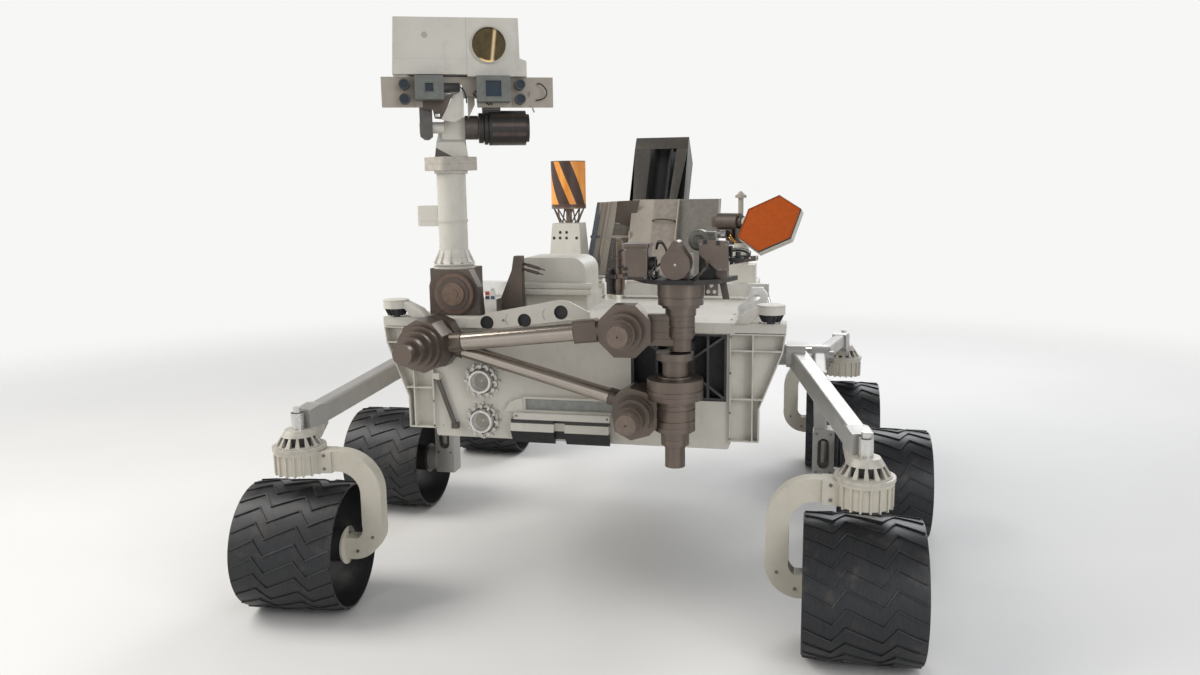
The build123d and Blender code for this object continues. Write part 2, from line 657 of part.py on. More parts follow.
def front_shelf():
    """Slot, ledge and two tilted trays low on the front, and the slanted latch rod beside them."""
    face = BODY_X[1]
    y0, y1, z0, z1 = SHELF_RECESS
    frame = block((face, face + SHELF_OUT), (y0 - 10, y1), (z0 - 8, z1 + 8))
    frame -= block((face + 3, face + SHELF_OUT), (y0, y1), (z0, z1))
    wedge_low, wedge_high, out = LEDGE
    ledge = block((face, face + out), SHELF_Y, (wedge_low, wedge_high))
    cheek = plate_x([(y0 - 10, z1 + 4), (y0 - 10, z0 - 8), (y0 - 85, z0 - 8), (y0 - 60, z1 - 12)],
                    (face, face + SHELF_OUT + 5))
    foot, lip, hinge = TRAY_Z
    foot_out, lip_out, hinge_out = TRAY_OUT
    profile = [(face, foot), (face + foot_out, foot), (face + lip_out, lip),
               (face + hinge_out, hinge), (face + hinge_out, wedge_low + 1), (face, wedge_low + 1)]
    trays = [plate_y(profile, y) for y in TRAYS]
    rail = block((face, face + 8), (TRAYS[0][0], TRAYS[1][1]), (foot + 20, wedge_low + 1))
    shelf = frame + ledge + cheek + trays + rail
    centre = face + 6 + LATCH_R
    (ya, za), (yb, zb) = LATCH_ROD
    rod_bar = rod((centre, ya, za), (centre, yb, zb), LATCH_R)
    ends = [block((face, centre + LATCH_R), (y - 13, y + 13), (z - 11, z + 11)) for y, z in LATCH_ROD]
    return shelf, rod_bar + ends


def bit_box(z):
    """Holder for a spare drill bit: open cup in a ring of hooked clips."""
    face = BODY_X[1]
    ring_r, ring_t = BIT_RING
    outer, inner, depth = BIT_CUP
    low, high, wide, reach = BIT_CLIP
    holder = disc_z((0, ring_t), 0, 0, ring_r) + disc_z((ring_t, depth), 0, 0, outer)
    holder -= disc_z((ring_t, depth), 0, 0, inner)
    clip = block((low, low + 8), (-wide / 2, wide / 2), (0, reach))
    clip += block((low, high), (-wide / 2, wide / 2), (0, ring_t - 4))
    clip += block((low, high - 8), (-wide / 2, wide / 2), (reach - 6, reach))
    holder += ring_of(clip, BIT_CLIPS)
    return Pos(face, BIT_Y, z) * Rot(0, 90, 0) * holder


# Arm

def truss():
    """Frame with slanted webs in the front recess, behind the arm's actuators."""
    back = BODY_X[1] - POCKET_DEPTH
    x = (back, BODY_X[1] - 8)
    (y0, y1), (z0, z1), t = POCKET_Y, POCKET_Z, TRUSS_T
    frame = block(x, POCKET_Y, POCKET_Z) - block(x, (y0 + t, y1 - t), (z0 + t, z1 - t))
    mid = (STACK[1], STACK_SPLIT_Z + 5)
    corners = [(y, z) for y in (y0 + t, y1 - t) for z in (z0 + t, z1 - t)]
    webs = [strip_x(mid, corner, t, x) for corner in corners]
    webs += [block(x, (mid[0] + dy - t / 2, mid[0] + dy + t / 2), POCKET_Z) for dy in (-96, 96)]
    return frame + webs + block((back, back + 5), POCKET_Y, POCKET_Z)


def stack_fixed():
    """Fixed half of the azimuth actuator with the truss that holds it to the body."""
    x, y = STACK
    pin = disc_z((STACK_SPLIT_Z - 70, STACK_SPLIT_Z), x, y, 26)
    back = BODY_X[1] - POCKET_DEPTH
    web = [(back, 1060), (back, 930), (back + 30, 930), (x - 70, 968), (x, 968), (x, 1040),
           (x - 60, 1040), (back + 40, 1060)]
    webs = [plate_y(web, (y + dy - 7, y + dy + 7)) for dy in (-38, 38)]
    return turned_z(STACK_HIGH, x, y) + pin + webs + truss()


def stack_moving():
    """Turning half of the azimuth actuator with the shoulder's housing at its side."""
    x, y = STACK
    sy, sz = SHOULDER
    body = turned_z(STACK_LOW, x, y)
    side = plate_x(around(SHOULDER_SHAPE, SHOULDER), (PIVOT_X, 1190))
    link = block((1090, 1180), (sy, y), (sz - 55, sz + 50))
    bore = disc_z((STACK_SPLIT_Z - 72, STACK_SPLIT_Z - FACE_GAP), x, y, 26 + FIT)
    pin = disc_x((1030, PIVOT_X), sy, sz, PIVOT_R)
    return body + side + link + turned_x(SHOULDER_DISCS, sy, sz) + pin - bore


def upper_arm():
    """Link from the shoulder to the elbow: yoke disc, polished tube and elbow housing."""
    (sy, sz), (ey, ez) = SHOULDER, ELBOW
    x = (ARM_BACK_X, PIVOT_X - FACE_GAP)
    bore = disc_x((1028, x[1]), sy, sz, PIVOT_R + FIT)
    yoke = disc_x(x, sy, sz, 80)
    near, far = Vector(UPPER_X, sy, sz), Vector(UPPER_X, ey, ez)
    run = (far - near).normalized()
    tube = rod(near, far, UPPER_R)
    collars = [rod(near, near + run * 125, UPPER_R + COLLAR), rod(far - run * 118, far, UPPER_R + COLLAR)]
    elbow = plate_x(around(ELBOW_SHAPE, ELBOW), x)
    pin = disc_x((x[1], 1160), ey, ez, PIVOT_R)
    return yoke + tube + collars + elbow - bore + pin


def forearm():
    """Link from the elbow to the wrist: elbow actuator, polished tube and wrist housing."""
    (ey, ez), (wy, wz) = ELBOW, WRIST
    drum = plate_x(around([(a + 14, r - 6) for a, r in ELBOW_SHAPE], ELBOW), (PIVOT_X, 1190))
    near, far = Vector(FORE_X, ey, ez), Vector(FORE_X, wy, wz)
    run = (far - near).normalized()
    tube = rod(near, far, FORE_R)
    collar = rod(near + run * 90, near + run * 142, FORE_R + FORE_COLLAR)
    cuff = beam(far - run * 205, far - run * 120, CUFF)
    neck_in = rod(far - run * 120, far - run * 50, FORE_R + FORE_COLLAR)
    wrist_eye = disc_x((PIVOT_X, 1152), wy, wz, 62)
    pin = disc_x((1152, 1230), wy, wz, PIVOT_R)
    bore = disc_x((PIVOT_X, 1162), ey, ez, PIVOT_R + FIT)
    solids = drum + turned_x(ELBOW_DISCS, ey, ez) + tube + collar + cuff + neck_in + wrist_eye
    return solids + pin - bore


def wrist():
    """Eight-sided wrist actuator with the turret's upright motor at its side."""
    wy, wz = WRIST
    x, y = TURRET
    drum = plate_x(around(WRIST_SHAPE, WRIST), (1153, 1225))
    link = block((1153, 1185), (wy + 60, y - 20), (1080, 1190))
    pin = disc_z((TURRET_Z - FACE_GAP, 1270), x, y, TURRET_PIN_R)
    bore = disc_x((1153, 1232), wy, wz, PIVOT_R + FIT)
    motor = turned_z(WRIST_MOTOR, x, y)
    return drum + turned_x(WRIST_DISCS, wy, wz) + motor + link + pin - bore


def turret_frame():
    """Ring and cross plate that carry the turret's tools."""
    x, y = TURRET
    plate = plate_z([
        (x - 90, y - 200), (x + 60, y - 120), (x + 110, y - 60), (x + 110, y + 60),
        (x + 60, y + 140), (x - 90, y + 190),
    ], (1302, 1318))
    bracket = block((x - 54, x - 42), (y + 79, y + 125), (1250, 1303))
    for dy, z in ((91, 1264), (113, 1264), (102, 1286)):
        bracket -= disc_x((x - 54, x - 42), y + dy, z, 7)
    bore = disc_z((TURRET_Z, 1272), x, y, TURRET_PIN_R + FIT)
    return turned_z(TURRET_RING, x, y) + plate + bracket - bore


def turret_tools():
    """Drill, sample box, camera and sensor heads round the turret."""
    x, y = TURRET
    dx, dy = x - 116, y - 247
    drill = turned_z([(1242, 1262, 22), (1262, 1302, 26), (1302, 1368, 22), (1368, 1380, 25),
                      (1380, 1436, 20), (1436, 1448, 12)], dx, dy)
    spindle = turned_z([(1246, 1290, 15), (1290, 1322, 19), (1322, 1336, 12)], dx + 18, dy - 24)
    arm = block((dx, x - 90), (y - 240, y - 190), (1302, 1318))
    bridge = block((dx, dx + 40), (dy - 34, dy), (1303, 1317))
    box = round_block((x + 15, x + 106), (y - 183, y - 97), (1318, 1430), 8)
    box += round_block((x + 11, x + 110), (y - 187, y - 93), (1428, 1440), 10)
    box += disc_y((y - 98, y - 76), x + 60, 1371, 24) - disc_y((y - 90, y - 76), x + 60, 1371, 15)
    sensor = round_block((x - 60, x + 30), (y + 66, y + 162), (1318, 1440), 8)
    shield = plate_x([(y + 65, 1453), (y + 166, 1447), (y + 171, 1346), (y + 134, 1345), (y + 72, 1399)],
                     (x + 44, x + 54))
    sensor += shield + block((x + 28, x + 46), (y + 90, y + 140), (1370, 1420))
    pear = disc_x((x + 60, x + 143), y, 1373, 50) + disc_x((x + 60, x + 140), y, 1438, 15)
    pear += plate_x([(y - 46, 1392), (y + 46, 1392), (y + 14, 1442), (y - 14, 1442)], (x + 60, x + 140))
    stem = block((x - 40, x + 62), (y - 40, y + 40), (1318, 1400))
    return [drill + spindle + arm + bridge, box, sensor, pear + stem]


# Mast

def mast_base():
    """Folding hinge on the deck's front right corner, locked upright."""
    hy, hz = HINGE
    outline = [(hy - 108, DECK_TOP), (hy + 104, DECK_TOP), (hy + 98, hz + 24), (hy + 62, MAST_FOOT_Z),
               (hy - 88, MAST_FOOT_Z), (hy - 108, hz + 30)]
    housing = plate_x(outline, (850, 905)) + block((705, 850), (hy - 125, hy + 45), (DECK_TOP, MAST_FOOT_Z))
    drum = disc_x((850, 915), hy, hz, HINGE_R)
    return housing + drum + turned_x(HINGE_FACES, hy, hz)


def mast_tube():
    """Column with a flared foot, a side housing, and a square collar at its top."""
    x, y = MAST
    neck_z = MAST_TOP_Z - MAST_COLLAR_H
    foot = turned([(MAST_FOOT_Z, MAST_FOOT_Z + 8, 84), (MAST_FOOT_Z + 8, MAST_FOOT_Z + 14, 76)])
    flare = cone_z((MAST_FOOT_Z + 14, MAST_FOOT_Z + 42), 0, 0, 76, MAST_R)
    column = turned([(MAST_FOOT_Z + 42, 1500, MAST_R), (1500, 1512, MAST_R + 3), (1512, neck_z, MAST_R)])
    collar = round_block((-80, 80), (-80, 80), (neck_z, MAST_TOP_Z), 14)
    collar = Rot(0, 0, 51) * collar + disc_z((neck_z - 12, neck_z), 0, 0, MAST_R + 8)
    side = round_block((-62, 26), (-144, -44), (1484, 1566), 12)
    pin = disc_z((MAST_TOP_Z, MAST_TOP_Z + 45), 0, 0, MAST_PIN_R)
    return Pos(x, y, 0) * (foot + flare + column + collar + side + pin)


def head_place(solid):
    """Set a piece drawn round the mast's axis, facing +X, to the head's parked heading."""
    return Pos(MAST[0], MAST[1], 0) * Rot(0, 0, HEAD_TURN) * solid


def mast_neck():
    """Turning neck that narrows upwards and carries the tilt actuator."""
    g, z = TILT_AXIS
    base = MAST_TOP_Z + FACE_GAP
    stem = plate_x([(-60, base), (70, base), (62, 1815), (-52, 1815)], (-50, 50))
    upper = plate_x([(-52, 1815), (62, 1815), (62, z + 40), (-12, z + 40), (-40, 1860)], (-45, 45))
    lug = plate_x([(-30, z - 45), (60, z - 45), (60, z + 40), (-12, z + 40), (-30, z)], (-45, g))
    motor = disc_y((60, 112), g, z, 46)
    pin = disc_y((-114, -20), g, z, TILT_R) + disc_y((112, 180), g, z, TILT_R)
    bore = disc_z((base, MAST_TOP_Z + 47), 0, 0, MAST_PIN_R + FIT)
    return stem + upper + lug + motor + pin - bore


def head_frame():
    """Camera bar hung from the tilt axis, with the drive's drum at its left."""
    g, z = TILT_AXIS
    low, high = HEAD_BAR_Z
    lug = plate_x([(-112, z - 34), (-96, z - 46), (-80, z - 46), (-64, z - 34), (-64, low + 40),
                   (-112, low + 40)], (g - 30, g + 30))
    lug -= disc_y((-114, -20), g, z, TILT_R + FIT)
    drum = turned([(114, 132, 58), (132, 136, 52), (136, 150, 64), (150, 154, 58), (154, 298, 67),
                   (298, 311, 54)])
    drum = Pos(g, 0, z - 2) * Rot(-90, 0, 0) * drum
    drum -= disc_y((112, 182), g, z, TILT_R + FIT)
    rise = block((g - 30, g + 30), (130, 200), (z + 30, low + 40))
    plate = block((g + 34, g + 50), (-250, 405), (low - 8, high))
    back = block((g - 40, g + 36), (-150, 250), HEAD_BAR_Z)
    bar = plate + back - block((g - 40, g + 50), (-62, 112), (low - 8, z + 115))
    return lug + drum + rise + bar


def head_box():
    """Large instrument box on top of the head with a round recessed window."""
    back, front = HEAD_BOX_X
    box = plate_x(HEAD_OUTLINE, HEAD_BOX_X)
    y, z, r, recess, collar = WINDOW
    box += disc_x((front, front + collar), y, z, r + 5)
    return box - disc_x((front - recess, front + collar), y, z, r)


def head_cameras():
    """Two square mast cameras and two pairs of small round ones, standing out of the bar."""
    front = TILT_AXIS[0] + 50
    solids = []
    for y, z, out, half in MAST_CAMERAS:
        mid_y, mid_z = sum(y) / 2, sum(z) / 2
        box = block((front, front + out), y, z)
        window = (mid_y - half, mid_y + half), (mid_z - half, mid_z + half)
        box -= block((front + out - 12, front + out), *window)
        solids.append(box)
    for y in NAV_Y:
        for z in NAV_Z:
            barrel = disc_x((front, front + NAV_OUT), y, z, NAV_R)
            solids.append(barrel - disc_x((front + NAV_OUT - 8, front + NAV_OUT), y, z, NAV_R - 5))
    return solids


# Deck top

def tank():
    """Rounded pale box on a base plate, right of the centre line."""
    base = block((430, 690), (-345, -20), (DECK_TOP, DECK_TOP + 60))
    body = block((445, 675), (-337, -30), (DECK_TOP + 60, DECK_TOP + 212))
    return base + fillet(body.edges().filter_by(Axis.X).group_by(Axis.Z)[-1], 60)


def wedge():
    """Dark upright bracket beside the mast's foot."""
    outline = [(-382, DECK_TOP), (-268, DECK_TOP), (-268, 1362), (-300, 1362), (-310, 1305)]
    return plate_x(outline, (750, 790))


def sun_dial():
    """Small calibration target on a post."""
    return block((835, 900), (-388, -340), (DECK_TOP, 1200)) + disc_z((1200, 1240), 868, -364, 6)


def uhf():
    """Helix aerial: upright cylinder on a cone of crossed struts and a tapered box."""
    x, y = UHF
    wide, deep, top_wide, top_deep = UHF_BOX
    low = Plane(origin=(0, 0, DECK_TOP)) * Rectangle(wide, deep)
    high = Plane(origin=(0, 0, UHF_BOX_TOP)) * Rectangle(top_wide, top_deep)
    foot = loft([low.face(), high.face()])
    ring_z = UHF_Z[0] - 8
    foot += disc_z((ring_z, UHF_Z[0]), 0, 0, UHF_R) + disc_z((UHF_BOX_TOP, ring_z), 0, 0, 16)
    step = 360 / UHF_STRUTS
    for k in range(UHF_STRUTS):
        for lean in (-step / 2, step / 2):
            a, b = math.radians(step * k), math.radians(step * k + lean)
            foot += rod((50 * math.cos(a), 50 * math.sin(a), UHF_BOX_TOP - 2),
                        (84 * math.cos(b), 84 * math.sin(b), ring_z + 2), 4)
    return Pos(x, y, 0) * foot, disc_z(UHF_Z, x, y, UHF_R)


def low_gain():
    """Small mushroom aerial on a post."""
    x, y, z = LOW_GAIN
    steps = [(DECK_TOP, DECK_TOP + 8, 30), (DECK_TOP + 8, z, 14), (z, z + 15, 30)]
    return turned_z(steps, x, y) + cone_z((z + 15, z + 35), x, y, 24, 6)


def dish_place(solid):
    """Set a piece drawn at the dish's centre, facing +X, to its parked pointing."""
    return Pos(*DISH) * Rot(0, 0, DISH_TURN) * Rot(0, -DISH_RISE, 0) * Rot(DISH_ROLL, 0, 0) * solid


def dish_base():
    """Box on the deck that carries the dish's upright gimbal axis."""
    x, y = GIMBAL
    base = round_block((x - 70, x + 70), (y - 70, y + 75), (DECK_TOP, 1250), 15)
    column = round_block((x - 38, x + 38), (y - 38, y + 38), (1250, 1332), 14)
    return base + column + turned_z([(1332, 1352, 34), (1352, 1392, 16)], x, y)


def dish_gimbal():
    """Turning post of the dish with its level axis on top."""
    x, y = GIMBAL
    post = disc_z((1353, GIMBAL_Z - 31), x, y, 30) - disc_z((1353, 1394), x, y, 16 + FIT)
    turn = math.radians(DISH_TURN)
    across = Vector(-math.sin(turn), math.cos(turn), 0)
    c = Vector(x, y, GIMBAL_Z)
    motor = rod(c - across * 125, c - across * 8, 42)
    neck_in = rod(c - across * 8, c + across * 10, 30)
    return post + motor + neck_in + rod(c + across * 10, c + across * 30, 13)


def dish():
    """Six-sided flat aerial with a raised edge, on an arm that swings about the level axis."""
    plate = extrude(RegularPolygon(DISH_R, 6), amount=DISH_T / 2, both=True)
    plate -= Pos(0, 0, DISH_T / 2 - 3) * extrude(RegularPolygon(DISH_R - 7, 6), amount=3)
    plate = dish_place(Rot(0, 90, 0) * plate)
    turn = math.radians(DISH_TURN)
    along = Vector(math.cos(turn), math.sin(turn), 0)
    across = Vector(-math.sin(turn), math.cos(turn), 0)
    a = Vector(*GIMBAL, GIMBAL_Z) + across * 11
    bar = rod(a + across * 14, Vector(*DISH) - along * 4, 9)
    eye = rod(a, a + across * 24, 22) + bar - rod(a, a + across * 20, 13 + FIT)
    return plate + eye


def generator():
    """Finned generator on a round base plate, its long axis upright and its base at the origin."""
    core = turned([(0, GEN_PLATE_T, GEN_BASE_R), (GEN_PLATE_T, GEN_LEN - 12, GEN_CORE_R),
                   (GEN_LEN - 12, GEN_LEN, GEN_CORE_R + 14)])
    root = GEN_CORE_R - 5
    fin = plate_y([(root, 20), (GEN_FIN_R - 30, 20), (GEN_FIN_R, 20 + GEN_FIN_CUT),
                   (GEN_FIN_R, GEN_LEN - 6), (root, GEN_LEN - 6)], (-GEN_FIN_T / 2, GEN_FIN_T / 2))
    fin += disc_z((20 + GEN_FIN_CUT, GEN_LEN - 6), GEN_FIN_R - 7, 0, 7)
    return core + ring_of(fin, GEN_FINS, 0.5)


def tail_frame(foot):
    """Struts that carry the generator's base plate behind the body."""
    lean = math.radians(GEN_LEAN)
    across = Vector(0, 1, 0)
    up = Vector(math.sin(lean), 0, math.cos(lean))
    drop = Vector(math.cos(lean), 0, -math.sin(lean))
    solids = rod(foot + drop * 14, foot, GEN_BASE_R)
    for side in (-1, 1):
        low = foot + drop * 7 + across * side * 90 - up * 60
        high = foot + drop * 7 + across * side * 90 + up * 60
        solids += rod((BODY_X[0] + 6, side * 300, 1000), low, STRUT_R)
        solids += rod((BODY_X[0] + 20, side * 150, DECK_TOP), high, STRUT_R)
    return solids - block(BODY_X, (-BODY_HALF_W, BODY_HALF_W), BODY_Z) - block(
        DECK_X, (-DECK_HALF_W, DECK_HALF_W), (BODY_Z[1] - 1, DECK_TOP))


def heat_panels():
    """Pale folded panel ahead of the generator with a rib down its front and strips at its side."""
    (xa, za), (xb, zb), (xc, zc) = PANEL_FACE
    behind = PANEL_T
    face = [(xa - behind, za), (xa, za), (xb, zb), (xc, zc), (xc - behind, zc), (xb - behind, zb)]
    panel = plate_y(face, PANEL_Y)
    rib = plate_y([(xb, zb), (xb + 28, zb + 15), (xc + 26, zc), (xc, zc)], (PANEL_RIB_Y - 3, PANEL_RIB_Y + 3))
    end = plate_y([(xb - behind, zb), (xb + 6, zb), (xc + 4, zc), (xc - 60, zc), (xb - 90, zb)],
                  (PANEL_Y[1] - 1, PANEL_Y[1] + 5))
    strip_x_range = (xb - 130, xb - 88)
    cross = block((xb - 120, xb - 100), (SIDE_STRIPS[-1][0] - 45, PANEL_Y[0] + 20), (zb + 20, zb + 34))
    strips = [plate_x([(top_y, zc - 12), (top_y + t, zc - 12), (top_y + t - STRIP_SPREAD, DECK_TOP),
                       (top_y - STRIP_SPREAD, DECK_TOP)], strip_x_range) for top_y, t in SIDE_STRIPS]
    side = plate_x([(PANEL_Y[0] - 30, zb), (PANEL_Y[0] + 4, zb), (PANEL_Y[0] + 20, zc - 8),
                    (SIDE_STRIPS[0][0] + 10, zc - 8)], (xb - 116, xb - 108))
    arm = block((xb - 116, xb - behind + 2), (PANEL_Y[0], PANEL_Y[0] + 8), (zb, zb + 60))
    return panel + rib + end + cross + strips + side + arm


os.makedirs("parts", exist_ok=True)

rim_solid = rim()
spider_solid = spider()
knuckle_solid = knuckle()
for name, x, half_track, side, turn, steered in WHEELS:
    place = (x, half_track, side, turn)
    save(f"rim_{name}", set_wheel_piece(rim_solid, *place))
    save(f"hub_{name}", set_wheel_piece(spider_solid, *place))
    if steered:
        save(f"knuckle_{name}", set_wheel_piece(knuckle_solid, *place))

rocker_solid = rocker()
bogie_solid = bogie()
save("rocker_left", rocker_solid)
save("rocker_right", other_side(rocker_solid))
save("bogie_left", bogie_solid)
save("bogie_right", other_side(bogie_solid))
save("differential", differential())
save("body", body_box())
save("deck", deck())
gusset_solid = gusset()
save("gussets", gusset_solid, other_side(gusset_solid))
puck_solid = puck()
save("corner_pucks", puck_solid, other_side(puck_solid))
save("stow_plate", stow_plate())
save("front_shelf", *front_shelf())
save("bit_boxes", *[bit_box(z) for z in BIT_BOXES])
save("shoulder_mount", stack_fixed())
save("shoulder", stack_moving())
save("upper_arm", upper_arm())
save("forearm", forearm())
save("wrist", wrist())
save("turret_frame", turret_frame())
save("turret_tools", *turret_tools())
save("mast_base", mast_base())
save("mast_tube", mast_tube())
save("mast_neck", head_place(mast_neck()))
save("head_frame", head_place(head_frame()))
save("head_box", head_place(head_box()))
save("head_cameras", *[head_place(s) for s in head_cameras()])
save("deck_tank", tank())
save("deck_wedge", wedge())
save("sun_dial", sun_dial())
uhf_foot, uhf_can = uhf()
save("uhf_foot", uhf_foot)
save("uhf_aerial", uhf_can)
save("low_gain_aerial", low_gain())
save("dish_base", dish_base())
save("dish_gimbal", dish_gimbal())
save("dish", dish())
front_reach = set_wheel_piece(rim_solid, FRONT_X, END_TRACK, -1, WHEELS[1][4]).bounding_box().max.X
gen_solid = Rot(0, GEN_LEAN - 90, 0) * generator()
gen_foot = Vector(-front_reach - gen_solid.bounding_box().min.X, GEN_Y, GEN_FOOT_Z)
save("generator", Pos(*gen_foot) * gen_solid)
save("tail_frame", tail_frame(gen_foot))
save("heat_panels", heat_panels())
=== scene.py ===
# %% [markdown]
# # A planetary rover, dressed for the camera
# The solid model arrives as fixed pieces in metres, with +X ahead, +Y to the rover's left and +Z up.
# This file gives each piece its finish, adds the small things that a maker would bolt on afterwards,
# and sets up a plain studio. It could have been one long script. Cells are used so that each step can
# be read and changed by itself.

# %% Load the solid model
import json
import math
import bmesh
import bpy
from mathutils import Matrix, Vector


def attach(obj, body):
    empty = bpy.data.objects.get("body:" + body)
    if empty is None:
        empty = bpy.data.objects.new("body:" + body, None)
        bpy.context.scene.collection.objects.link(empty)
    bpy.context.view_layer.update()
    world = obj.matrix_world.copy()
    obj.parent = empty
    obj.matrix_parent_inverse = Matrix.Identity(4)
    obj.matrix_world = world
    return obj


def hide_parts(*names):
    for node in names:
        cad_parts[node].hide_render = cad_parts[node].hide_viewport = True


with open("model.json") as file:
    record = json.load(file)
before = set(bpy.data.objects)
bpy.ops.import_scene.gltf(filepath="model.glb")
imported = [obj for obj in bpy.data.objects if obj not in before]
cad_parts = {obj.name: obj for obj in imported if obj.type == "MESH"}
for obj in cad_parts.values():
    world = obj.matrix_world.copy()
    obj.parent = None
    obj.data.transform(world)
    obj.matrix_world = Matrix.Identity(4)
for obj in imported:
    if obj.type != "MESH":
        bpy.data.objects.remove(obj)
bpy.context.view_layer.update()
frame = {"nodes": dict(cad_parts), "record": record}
nodes = frame["nodes"]

# %% [markdown]
# ## Camera
# The camera stands where the photographer stood. Its place, its three angles and its lens were worked
# out from known lengths on the vehicle: wheel size, track and wheelbase. A camera could be aimed by
# eye with a Track To constraint, but the picture is also slightly rolled, so a full turning matrix is
# built from the heading, the pitch and the roll.

# %% Camera
EYE = Vector((4.3364, 0.8614, 1.6308))
HEADING, PITCH, ROLL = math.radians(12.856), math.radians(9.238), math.radians(-0.7575)
SENSOR_MM = 36.0
FOCAL_PIXELS, WIDTH_PIXELS = 923.87, 1200
LENS_MM = FOCAL_PIXELS / WIDTH_PIXELS * SENSOR_MM

level = Vector((-math.cos(HEADING), -math.sin(HEADING), 0))
sideways = Vector((-math.sin(HEADING), math.cos(HEADING), 0))
upright = Vector((0, 0, 1))
ahead = level * math.cos(PITCH) - upright * math.sin(PITCH)
lifted = upright * math.cos(PITCH) + level * math.sin(PITCH)
right = sideways * math.cos(ROLL) + lifted * math.sin(ROLL)
top = lifted * math.cos(ROLL) - sideways * math.sin(ROLL)

lens = bpy.data.cameras.new("camera")
lens.sensor_width = SENSOR_MM
lens.lens = LENS_MM
camera = bpy.data.objects.new("camera", lens)
bpy.context.scene.collection.objects.link(camera)
camera.matrix_world = Matrix((right, top, -ahead)).transposed().to_4x4()
camera.location = EYE
bpy.context.scene.camera = camera
print("lens", round(LENS_MM, 2), "mm")

# %% [markdown]
# ## Studio
# The floor is a large pale plane that fades out a few metres from the vehicle. The lamps are broad and
# soft, at a level where a colour renders about as it is written. The background could be lit until it
# is white, but that light would wash out the vehicle. So the world has two parts, told apart by Light
# Path: a soft sky that lights the paints, and a near-white one, darker overhead, that only the camera,
# clear parts and shiny metal see. The key light comes from the vehicle's right. Two narrow strip lamps
# stand at the front corners, so that round metal parts get a thin bright line along them.

# %% Helpers for shader maths
class Sum:
    """Wraps a socket or a number, so that node maths reads as an expression."""

    def __init__(self, finish, value):
        self.finish, self.value = finish, value

    def _maths(self, operation, first, second=None):
        inputs = {0: first} if second is None else {0: first, 1: second}
        node = self.finish.add("ShaderNodeMath", {"operation": operation}, inputs)
        return Sum(self.finish, node.outputs[0])

    def __add__(self, other):
        return self._maths("ADD", self, other)

    def __radd__(self, other):
        return self._maths("ADD", other, self)

    def __sub__(self, other):
        return self._maths("SUBTRACT", self, other)

    def __rsub__(self, other):
        return self._maths("SUBTRACT", other, self)

    def __mul__(self, other):
        return self._maths("MULTIPLY", self, other)

    def __rmul__(self, other):
        return self._maths("MULTIPLY", other, self)

    def __pow__(self, other):
        return self._maths("POWER", self, other)

    def sine(self):
        return self._maths("SINE", self)

    def root(self):
        return self._maths("SQRT", self)

    def size(self):
        return self._maths("ABSOLUTE", self)

    def angle(self, other):
        return self._maths("ARCTAN2", self, other)

    def smaller(self, other):
        return self._maths("MINIMUM", self, other)

    def larger(self, other):
        return self._maths("MAXIMUM", self, other)

    def between(self, low, high, soft=0.0006):
        """1 inside the two limits, 0 outside."""
        return self.ramp(low - soft, low + soft) * self.below(high - soft, high + soft)

    def line(self, place, half, soft=0.0003):
        """1 on a thin line at a place, 0 elsewhere."""
        return self.between(place - half, place + half, soft)

    def below(self, low, high):
        """1 below low, 0 above high, smooth between."""
        return 1 - self.ramp(low, high)

    def ramp(self, low, high):
        """0 below low, 1 above high, smooth between."""
        node = self.finish.add("ShaderNodeMapRange", {"interpolation_type": "SMOOTHSTEP"},
                               {"Value": self, "From Min": low, "From Max": high})
        return Sum(self.finish, node.outputs[0])


def apart(first, second):
    """How far two points are apart, from the two legs between them."""
    return (first ** 2 + second ** 2).root()


